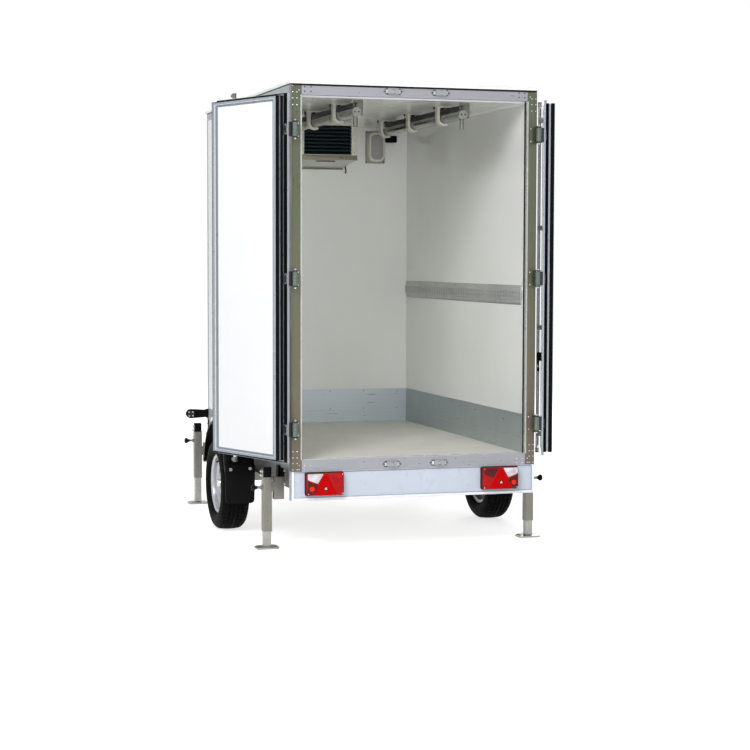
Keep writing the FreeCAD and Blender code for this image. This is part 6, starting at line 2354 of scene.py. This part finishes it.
@dataclass
class Studio:
    """The photo's camera, a pale floor, a white backdrop and soft lamps."""

    camera_at: tuple[float, float, float] = (-3.44019, -12.33094, 1.77771)
    yaw: float = 16.92
    pitch: float = -3.70
    roll: float = 0.14
    lens: float = 87.455
    sky: float = 0.40
    floor_glow: float = 0.69

    def camera(self) -> None:
        """Places the camera: yaw from +Y towards +X, then pitch and roll."""
        yaw, pitch, roll = (math.radians(a) for a in (self.yaw, self.pitch, self.roll))
        ahead = Vector((math.sin(yaw) * math.cos(pitch), math.cos(yaw) * math.cos(pitch), math.sin(pitch)))
        right = Vector((math.cos(yaw), -math.sin(yaw), 0))
        up = right.cross(ahead)
        across = right * math.cos(roll) + up * math.sin(roll)
        upward = up * math.cos(roll) - right * math.sin(roll)
        data = bpy.data.cameras.new("photo_camera")
        data.lens = self.lens
        data.sensor_width = 36.0
        data.clip_end = 200.0
        camera = bpy.data.objects.new("photo_camera", data)
        bpy.context.scene.collection.objects.link(camera)
        camera.matrix_world = Matrix((across, upward, -ahead)).transposed().to_4x4()
        camera.location = self.camera_at
        bpy.context.scene.camera = camera

    def see_white(self, tree: bpy.types.NodeTree) -> Socket:
        """1 for rays from the camera, mirrors and glass, and 0 for the light on the object.

        Args:
            tree: the nodes it is built in.

        Returns:
            The value.
        """
        path = tree.nodes.new("ShaderNodeLightPath")
        first = tree.nodes.new("ShaderNodeMath")
        first.operation = "MAXIMUM"
        second = tree.nodes.new("ShaderNodeMath")
        second.operation = "MAXIMUM"
        tree.links.new(path.outputs["Is Camera Ray"], first.inputs[0])
        tree.links.new(path.outputs["Is Glossy Ray"], first.inputs[1])
        tree.links.new(first.outputs[0], second.inputs[0])
        tree.links.new(path.outputs["Is Transmission Ray"], second.inputs[1])
        return second.outputs[0]

    def backdrop(self) -> None:
        """A world that looks white and lights the object softly."""
        world = bpy.data.worlds.new("studio")
        world.use_nodes = True
        tree = world.node_tree
        background = tree.nodes["Background"]
        background.inputs["Color"].default_value = (1, 1, 1, 1)
        strength = tree.nodes.new("ShaderNodeMapRange")
        strength.inputs["To Min"].default_value = self.sky
        strength.inputs["To Max"].default_value = 1.0
        tree.links.new(self.see_white(tree), strength.inputs["Value"])
        tree.links.new(strength.outputs["Result"], background.inputs["Strength"])
        bpy.context.scene.world = world

    def ground(self) -> None:
        """A large pale floor that keeps the shadow and fades into the backdrop."""
        size = 60000.0
        sheet = block(-size, size, -size, size, -12, -0.5)
        mesh = bpy.data.meshes.new("floor_stage")
        points = (sheet.points - (0, MIDDLE_Y, 0)) / 1000
        mesh.from_pydata(points.tolist(), [], [f for g in sheet.faces for f in g.tolist()])
        floor = bpy.data.objects.new("floor_stage", mesh)
        bpy.context.scene.collection.objects.link(floor)
        floor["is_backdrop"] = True
        material = bpy.data.materials.new("pale_floor")
        material.use_nodes = True
        tree = material.node_tree
        tree.nodes.remove(tree.nodes["Principled BSDF"])
        diffuse = tree.nodes.new("ShaderNodeBsdfDiffuse")
        diffuse.inputs["Color"].default_value = (0.82, 0.82, 0.83, 1)
        glow = tree.nodes.new("ShaderNodeEmission")
        lift = tree.nodes.new("ShaderNodeMath")
        lift.operation = "MULTIPLY"
        lift.inputs[1].default_value = self.floor_glow
        add = tree.nodes.new("ShaderNodeAddShader")
        tree.links.new(self.see_white(tree), lift.inputs[0])
        tree.links.new(lift.outputs[0], glow.inputs["Strength"])
        tree.links.new(diffuse.outputs[0], add.inputs[0])
        tree.links.new(glow.outputs[0], add.inputs[1])
        tree.links.new(add.outputs[0], tree.nodes["Material Output"].inputs["Surface"])
        mesh.materials.append(material)

    def lamp(
        self, name: str, at: Sequence[float], aim: Sequence[float], size: float, power: float
    ) -> bpy.types.Object:
        """A square soft lamp at a place, turned towards another.

        Args:
            name: the lamp's name.
            at: where it stands.
            aim: the point it looks at.
            size: the side of its square, in metres.
            power: its power in watts.

        Returns:
            The lamp.
        """
        data = bpy.data.lights.new(name, "AREA")
        data.size = size
        data.energy = power
        lamp = bpy.data.objects.new(name, data)
        bpy.context.scene.collection.objects.link(lamp)
        lamp.location = at
        lamp.rotation_euler = (Vector(aim) - Vector(at)).to_track_quat("-Z", "Y").to_euler()
        return lamp

    def build(self) -> None:
        """Makes the stage."""
        bpy.context.scene.view_settings.view_transform = "Standard"
        self.camera()
        self.backdrop()
        self.ground()
        self.lamp("key_lamp", (-5.0, -7.5, 6.2), (0.0, -0.5, 1.4), 3.0, 465.0)
        fill = self.lamp("fill_lamp", (-1.0, -12.5, 2.6), (0.0, 0.0, 1.5), 3.0, 246.0)
        fill.visible_glossy = False
        self.lamp("front_lamp", (4.5, 8.5, 5.5), (0.0, 1.0, 1.2), 4.0, 300.0)
        doorway = self.lamp("doorway_lamp", (-1.2, -4.4, 2.0), (0.95, -1.2, 1.1), 1.2, 9.0)
        doorway.visible_glossy = False


def write_sizes(cad_box: tuple[Vector, Vector]) -> None:
    """Turns the frame's box and the dressed object's box into JSON text, which is not kept."""
    boxes = {"cad": cad_box, "visual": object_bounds()}
    json.dumps({name: [list(c) for c in box] for name, box in boxes.items()})


def main() -> None:
    """Builds the trailer's looks in order, then the studio."""
    logging.basicConfig(level=logging.INFO, format="%(message)s")
    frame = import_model()
    cad_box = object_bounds()
    assemblies = [BoxBody(frame), RearFrame(frame)]
    for name, side in SIDES:
        assemblies += [Door(frame, side, name), Wheel(frame, side, name)]
    assemblies += [Mudguards(frame), SupportLeg(frame, "rear", 302.0, 106.0)]
    assemblies += [SupportLeg(frame, "front", 2429.0, 187.0), Undercarriage(frame), Hitch(frame)]
    assemblies += [Jockey(frame), WallGear(frame), InsideLamp(frame), HangingRails(frame)]
    assemblies += [Evaporator(frame), CondensingUnit(frame), TailLamp(frame, "left", -575.0, -1)]
    assemblies += [TailLamp(frame, "right", 541.0, 1), MarkerLamp(frame)]
    for assembly in assemblies:
        assembly.build()
    Studio().build()
    write_sizes(cad_box)


if __name__ == "__main__":
    main()
